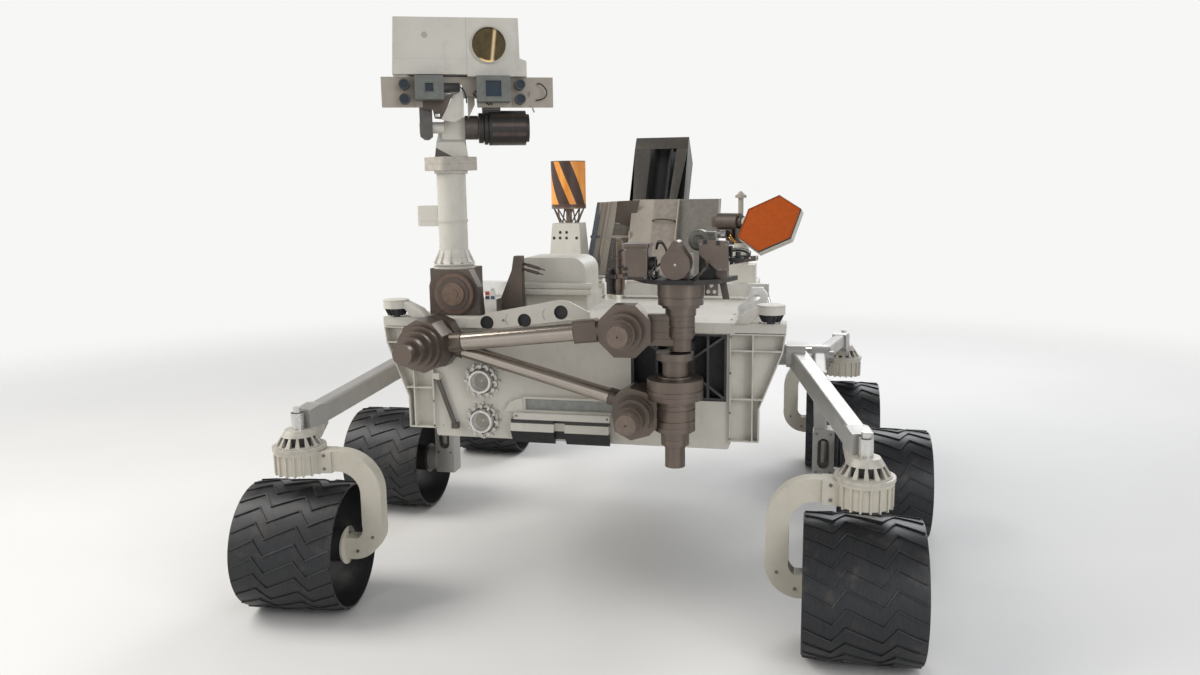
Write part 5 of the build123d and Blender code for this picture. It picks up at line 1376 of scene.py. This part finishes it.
# %% Painted shade behind the stow plate's holes
hole_shade_dishes = []
for left, high in STOW_HOLES:
    fresh()
    bpy.ops.mesh.primitive_cylinder_add(vertices=32, radius=0.0249, depth=0.003,
                                        location=(0.9885, left, high), rotation=(0, math.pi / 2, 0))
    bpy.ops.object.transform_apply(location=True, rotation=True)
    pick(bpy.context.object, "faces", lambda face: face.normal.x > 0.9)
    bpy.ops.mesh.inset(thickness=0.0025)
    push((-0.0018, 0, 0))
    bpy.ops.object.mode_set(mode="OBJECT")
    hole_shade_dishes.append(bpy.context.object)
finished(together(hole_shade_dishes), "stow_plate_hole_shade", "chassis", black)
print("backs:", len(STOW_HOLES))

# %% Tank ledge and probes
ledge = [oblong((0.6905, -0.286, 1.224), (0.716, 0.0, 1.246), 0.002),
         oblong((0.6905, -0.290, 1.200), (0.728, 0.0, 1.2225), 0.003)]
foot = oblong((0.6905, -0.280, 1.1355), (0.700, -0.02, 1.1995), 0.0015, 0.010, 0.003)
finished(together(ledge + [foot]), "tank_ledge", "chassis", white)

PROBE_ENDS = [((0.766, -0.2685, 1.331), (0.768, -0.174, 1.304)),
              ((0.766, -0.2685, 1.309), (0.768, -0.182, 1.286))]
probes = []
for start, end in PROBE_ENDS:
    start, end = Vector(start), Vector(end)
    reach = (end - start).length
    section = [(0.0052, 0), (0.0052, 0.18), (0.0066, 0.20), (0.0066, 0.74), (0.0030, 0.78), (0.0022, 0.98)]
    probe = trace([(0, 0, 0)] + [(radius, 0, reach * share) for radius, share in section] + [(0, 0, reach)])
    bpy.ops.mesh.select_all(action="SELECT")
    bpy.ops.mesh.spin(steps=16, angle=2 * math.pi, center=(0, 0, 0), axis=(0, 0, 1))
    tidy_normals(probe)
    probe.matrix_world = looking(start, end - start)
    probes.append(probe)
finished(together(probes), "wind_probes", "chassis", umber)
print("probes:", len(PROBE_ENDS))

# %% Arms of the housings
arms = []
for side, inner in ((1, 0.600), (-1, 0.590)):
    outline = [(side * 0.742, 1.203), (side * 0.690, 1.203), (side * (inner + 0.03), 1.170),
               (side * inner, 1.1355), (side * 0.655, 1.1355), (side * 0.690, 1.1720),
               (side * 0.742, 1.1720)]
    arms.append(plate(outline, 0.052, facing(0.950), 0.006))
finished(together(arms), "housing_arms", "chassis", white)
print("housing arms made")

# %% [markdown]
# ## Turret wiring
# The tools are wired to each other by dark bundles that hang in loops between clips. They give this
# end of the arm its busy look. Noise on the surface could suggest them, but their loops stand clear of
# the tools, so each bundle is a curve with a round section. All of them start and end on the turret.

# %% Bundles and thin wires
TURRET = body_of["turret_tools"]
bundles = [
    [(1.095, 0.496, 1.318), (1.085, 0.506, 1.345), (1.078, 0.520, 1.372), (1.082, 0.535, 1.350),
     (1.095, 0.545, 1.330)],
    [(1.100, 0.500, 1.318), (1.078, 0.500, 1.360), (1.070, 0.525, 1.395), (1.085, 0.560, 1.405),
     (1.095, 0.575, 1.400)],
    [(1.235, 0.470, 1.318), (1.262, 0.488, 1.322), (1.268, 0.505, 1.342), (1.250, 0.520, 1.360),
     (1.232, 0.520, 1.372)],
    [(1.230, 0.480, 1.318), (1.256, 0.500, 1.330), (1.254, 0.516, 1.352), (1.236, 0.530, 1.362)],
    [(1.100, 0.590, 1.405), (1.098, 0.620, 1.412), (1.096, 0.650, 1.402), (1.098, 0.662, 1.392),
     (1.100, 0.640, 1.384), (1.100, 0.600, 1.380)],
    [(1.220, 0.346, 1.318), (1.246, 0.340, 1.322), (1.266, 0.336, 1.336), (1.262, 0.342, 1.352),
     (1.240, 0.345, 1.362)],
    [(1.200, 0.348, 1.420), (1.212, 0.352, 1.438), (1.214, 0.366, 1.444), (1.212, 0.380, 1.430),
     (1.212, 0.386, 1.410)],
    [(1.060, 0.190, 1.400), (1.080, 0.210, 1.412), (1.100, 0.226, 1.404), (1.150, 0.240, 1.380),
     (1.170, 0.243, 1.360)],
    [(1.055, 0.184, 1.345), (1.074, 0.206, 1.348), (1.104, 0.222, 1.356), (1.160, 0.240, 1.356)],
    [(1.050, 0.300, 1.320), (1.060, 0.330, 1.352), (1.085, 0.362, 1.372), (1.110, 0.386, 1.372)],
]
wire("turret_bundles", bundles, 0.0042, TURRET, black)
thin = [[(x + 0.008, y + 0.004 * (k % 3), z + 0.008) for x, y, z in run]
        for k, run in enumerate(bundles[:7])]
wire("turret_wires", thin, 0.0018, TURRET, umber)
print("bundles:", len(bundles), "wires:", len(thin))

# %% Connectors and brush motor
boxes = [
    oblong((1.092, 0.545, 1.388), (1.128, 0.600, 1.426), 0.003, 0.006, 0.003),
    oblong((1.092, 0.575, 1.372), (1.118, 0.640, 1.384), 0.002),
    oblong((1.096, 0.610, 1.384), (1.114, 0.628, 1.404), 0.002),
    oblong((1.094, 0.500, 1.318), (1.130, 0.532, 1.342), 0.003, 0.005, 0.003),
    oblong((1.256, 0.242, 1.330), (1.264, 0.256, 1.342), 0.001),
    oblong((1.256, 0.242, 1.350), (1.264, 0.256, 1.362), 0.001),
    oblong((1.196, 0.508, 1.436), (1.206, 0.522, 1.450), 0.001),
    oblong((1.196, 0.552, 1.432), (1.206, 0.566, 1.448), 0.001),
    oblong((1.150, 0.344, 1.318), (1.215, 0.352, 1.345), 0.001),
]
finished(together(boxes), "turret_connectors", TURRET, black)

fresh()
bpy.ops.mesh.primitive_cylinder_add(vertices=48, radius=0.036, depth=0.062,
                                    location=(1.141, 0.489, 1.447), rotation=(0, math.pi / 2, 0))
motor = bpy.context.object
bpy.ops.object.transform_apply(location=True, rotation=True)
pick(motor, "faces", lambda face: face.normal.x > 0.9)
bpy.ops.mesh.inset(thickness=0.006)
push((0.008, 0, 0))
bpy.ops.mesh.inset(thickness=0.012)
push((-0.004, 0, 0))
use(motor, "BEVEL", width=0.0015, segments=2, limit_method="ANGLE", angle_limit=math.radians(35))
housing = oblong((1.112, 0.503, 1.4405), (1.168, 0.546, 1.476), 0.005, 0.007, 0.002)
finished(together([motor, housing]), "brush_motor", TURRET, camera_grey)
print("connectors:", len(boxes))

# %% Small arms, tips and screws
reach_arm = plate([(0.5875, 1.386), (0.686, 1.389), (0.686, 1.373), (0.640, 1.366), (0.5875, 1.357)],
                  0.020, facing(1.072), 0.002)
leg = plate([(0.549, 1.3455), (0.590, 1.3455), (0.584, 1.319), (0.556, 1.319)], 0.008, facing(1.190))
strut = plate([(0.556, 1.3015), (0.580, 1.3015), (0.592, 1.240), (0.568, 1.240)], 0.012,
              facing(1.112), 0.0015)
finished(together([reach_arm, leg, strut]), "turret_arms", TURRET, umber)
tips = [oblong((1.0925, left, high), (1.0985, left + 0.006, high + 0.005), 0.0008)
        for left, high in ((0.678, 1.3745), (0.678, 1.382), (0.655, 1.379), (0.600, 1.362), (0.600, 1.374))]
finished(together(tips), "turret_tips", TURRET, plain_metal)

spots = [((1.2562, y, z), (1, 0, 0)) for y in (0.252, 0.318) for z in (1.326, 1.420)]
spots += [((1.2042, y, z), (1, 0, 0))
          for y, z in ((0.500, 1.436), (0.586, 1.434), (0.588, 1.352), (0.566, 1.352))]
spots += [((1.150 + 0.070 * math.cos(a), 0.425 + 0.070 * math.sin(a), 1.3182), (0, 0, 1))
          for a in [math.radians(60 * k + 30) for k in range(6)]]
screws("turret_screws", TURRET, spots, 0.62)
forget(screw)
print("turret screws:", len(spots))

# %% [markdown]
# ## Dish drive and small target
# Under the dish's level motor hangs its dark gearbox with a bright encoder, and two gold leads run down
# to the base. On the deck beside the mast stands a small colour target. The gearbox could be painted on
# the solid motor, but it hangs below it and shows in outline, so it is a box with broken edges.

# %% Gearbox, encoder, leads and target
DRIVE, DRIVE_TURN = Vector((-0.245, 0.530, 1.455)), math.radians(-27.5)
on_drive = Matrix.Translation(DRIVE) @ Matrix.Rotation(DRIVE_TURN, 4, "Z")
gearbox = together([oblong((-0.036, -0.118, -0.080), (0.036, -0.0315, -0.036), 0.004, 0.010, 0.003),
                    oblong((-0.024, -0.075, -0.112), (0.024, -0.0315, -0.081), 0.004),
                    oblong((-0.030, -0.156, -0.028), (0.030, -0.1255, 0.028), 0.008)])
gearbox.matrix_world = on_drive
finished(gearbox, "dish_gearbox", "dish_gimbal", umber)
encoder = [oblong((0.0365, -0.084, -0.070), (0.060, -0.052, -0.038), 0.006, 0.005, 0.002),
           oblong((0.0365, -0.110, -0.066), (0.044, -0.094, -0.048), 0.002)]
encoder = together(encoder)
encoder.matrix_world = on_drive
finished(encoder, "dish_encoder", "dish_gimbal", dull_metal)
leads = [[on_drive @ Vector(spot) for spot in run] for run in (
    [(0.037, -0.040, -0.055), (0.052, -0.030, -0.060), (0.050, -0.012, -0.085), (0.034, -0.004, -0.098)],
    [(0.037, -0.046, -0.066), (0.050, -0.036, -0.074), (0.046, -0.018, -0.092), (0.032, -0.008, -0.100)])]
wire("dish_leads", leads, 0.0030, "dish_gimbal", gold_lead)

target = plate([(-0.386, 1.1975), (-0.342, 1.1975), (-0.342, 1.2340), (-0.386, 1.2340)], 0.004,
               facing(0.9005))
finished(target, "colour_target", "chassis", target_coat)
print("dish drive made")

# %% [markdown]
# ## Generator and its panels
# Ahead of the generator stands a folded heat panel with a bent handle on its face, and beside it inner
# walls, painted darker as painted shade, that show between the side strips. The generator has flat
# covers round its fins, which widen towards its upper end. The fins alone would do from the front, but
# from the side they leave a saw-toothed outline that the real one doesn't have. The handle is a curve,
# and the rest is plates.

# %% Panel wall and handle
strip_wall = [(-0.274, 1.548), (-0.188, 1.553), (-0.205, 1.436), (-0.240, 1.281), (-0.262, 1.1365),
              (-0.352, 1.1365)]
upper_wall = [(-0.189, 1.553), (-0.062, 1.558), (-0.100, 1.409), (-0.206, 1.436)]
lower_wall = [(-0.206, 1.435), (-0.100, 1.408), (-0.130, 1.300), (-0.130, 1.1365), (-0.262, 1.1365),
              (-0.240, 1.281)]
# The upper and lower inner walls are painted dark, umber and shaded tan, as painted shade.
for name, outline, coat in (("panel_side", strip_wall, tan), ("panel_wall", upper_wall, umber),
                            ("panel_foot", lower_wall, shaded_tan_coat)):
    finished(plate(outline, 0.004, facing(-0.7475), 0.001), name, "chassis", coat)
handle = [(-0.7150, 0.014, 1.444), (-0.7010, 0.016, 1.447), (-0.6970, 0.030, 1.452), (-0.6960, 0.070, 1.455),
          (-0.6970, 0.118, 1.450), (-0.7010, 0.136, 1.444), (-0.7150, 0.138, 1.441)]
wire("panel_handle", handle, 0.0042, "chassis", umber)
print("panel walls and handle made")

# %% Plates round the generator
GEN_FOOT, GEN_LEAN = Vector((-0.9435, -0.009, 1.330)), math.radians(50)
along_generator = Vector((-math.cos(GEN_LEAN), 0, math.sin(GEN_LEAN)))
out_of_generator = Vector((math.sin(GEN_LEAN), 0, math.cos(GEN_LEAN)))


def beside_generator(out, left, across):
    """A frame whose flat directions are across and along the generator."""
    origin = GEN_FOOT + out_of_generator * out + Vector((0, left, 0))
    normal = Vector(across).cross(along_generator)
    return Matrix.Translation(origin) @ Matrix((across, along_generator, normal)).transposed().to_4x4()


low, split, high = 0.055, 0.545, 0.634
half, foot_half, seam = 0.1575, 0.118, 0.0002
front = beside_generator(half, 0, (0, 1, 0))
covers = [plate([(-foot_half, low), (-0.050, low), (-0.062, split), (-half, split)], 0.002, front),
          plate([(0.080, low), (foot_half, low), (half, split), (0.092, split)], 0.002, front),
          plate([(-half, split + seam), (half, split + seam), (half, high), (-half, high)], 0.002, front)]
for side in (1, -1):
    wing = [(-0.075, low + 0.02), (0.085, low), (half, split), (half, high), (-0.075, high)]
    covers.append(plate(wing, 0.002, beside_generator(0, side * half, tuple(out_of_generator))))
finished(together(covers), "generator_covers", "chassis", cover_coat)
print("generator covers:", len(covers), "plates")
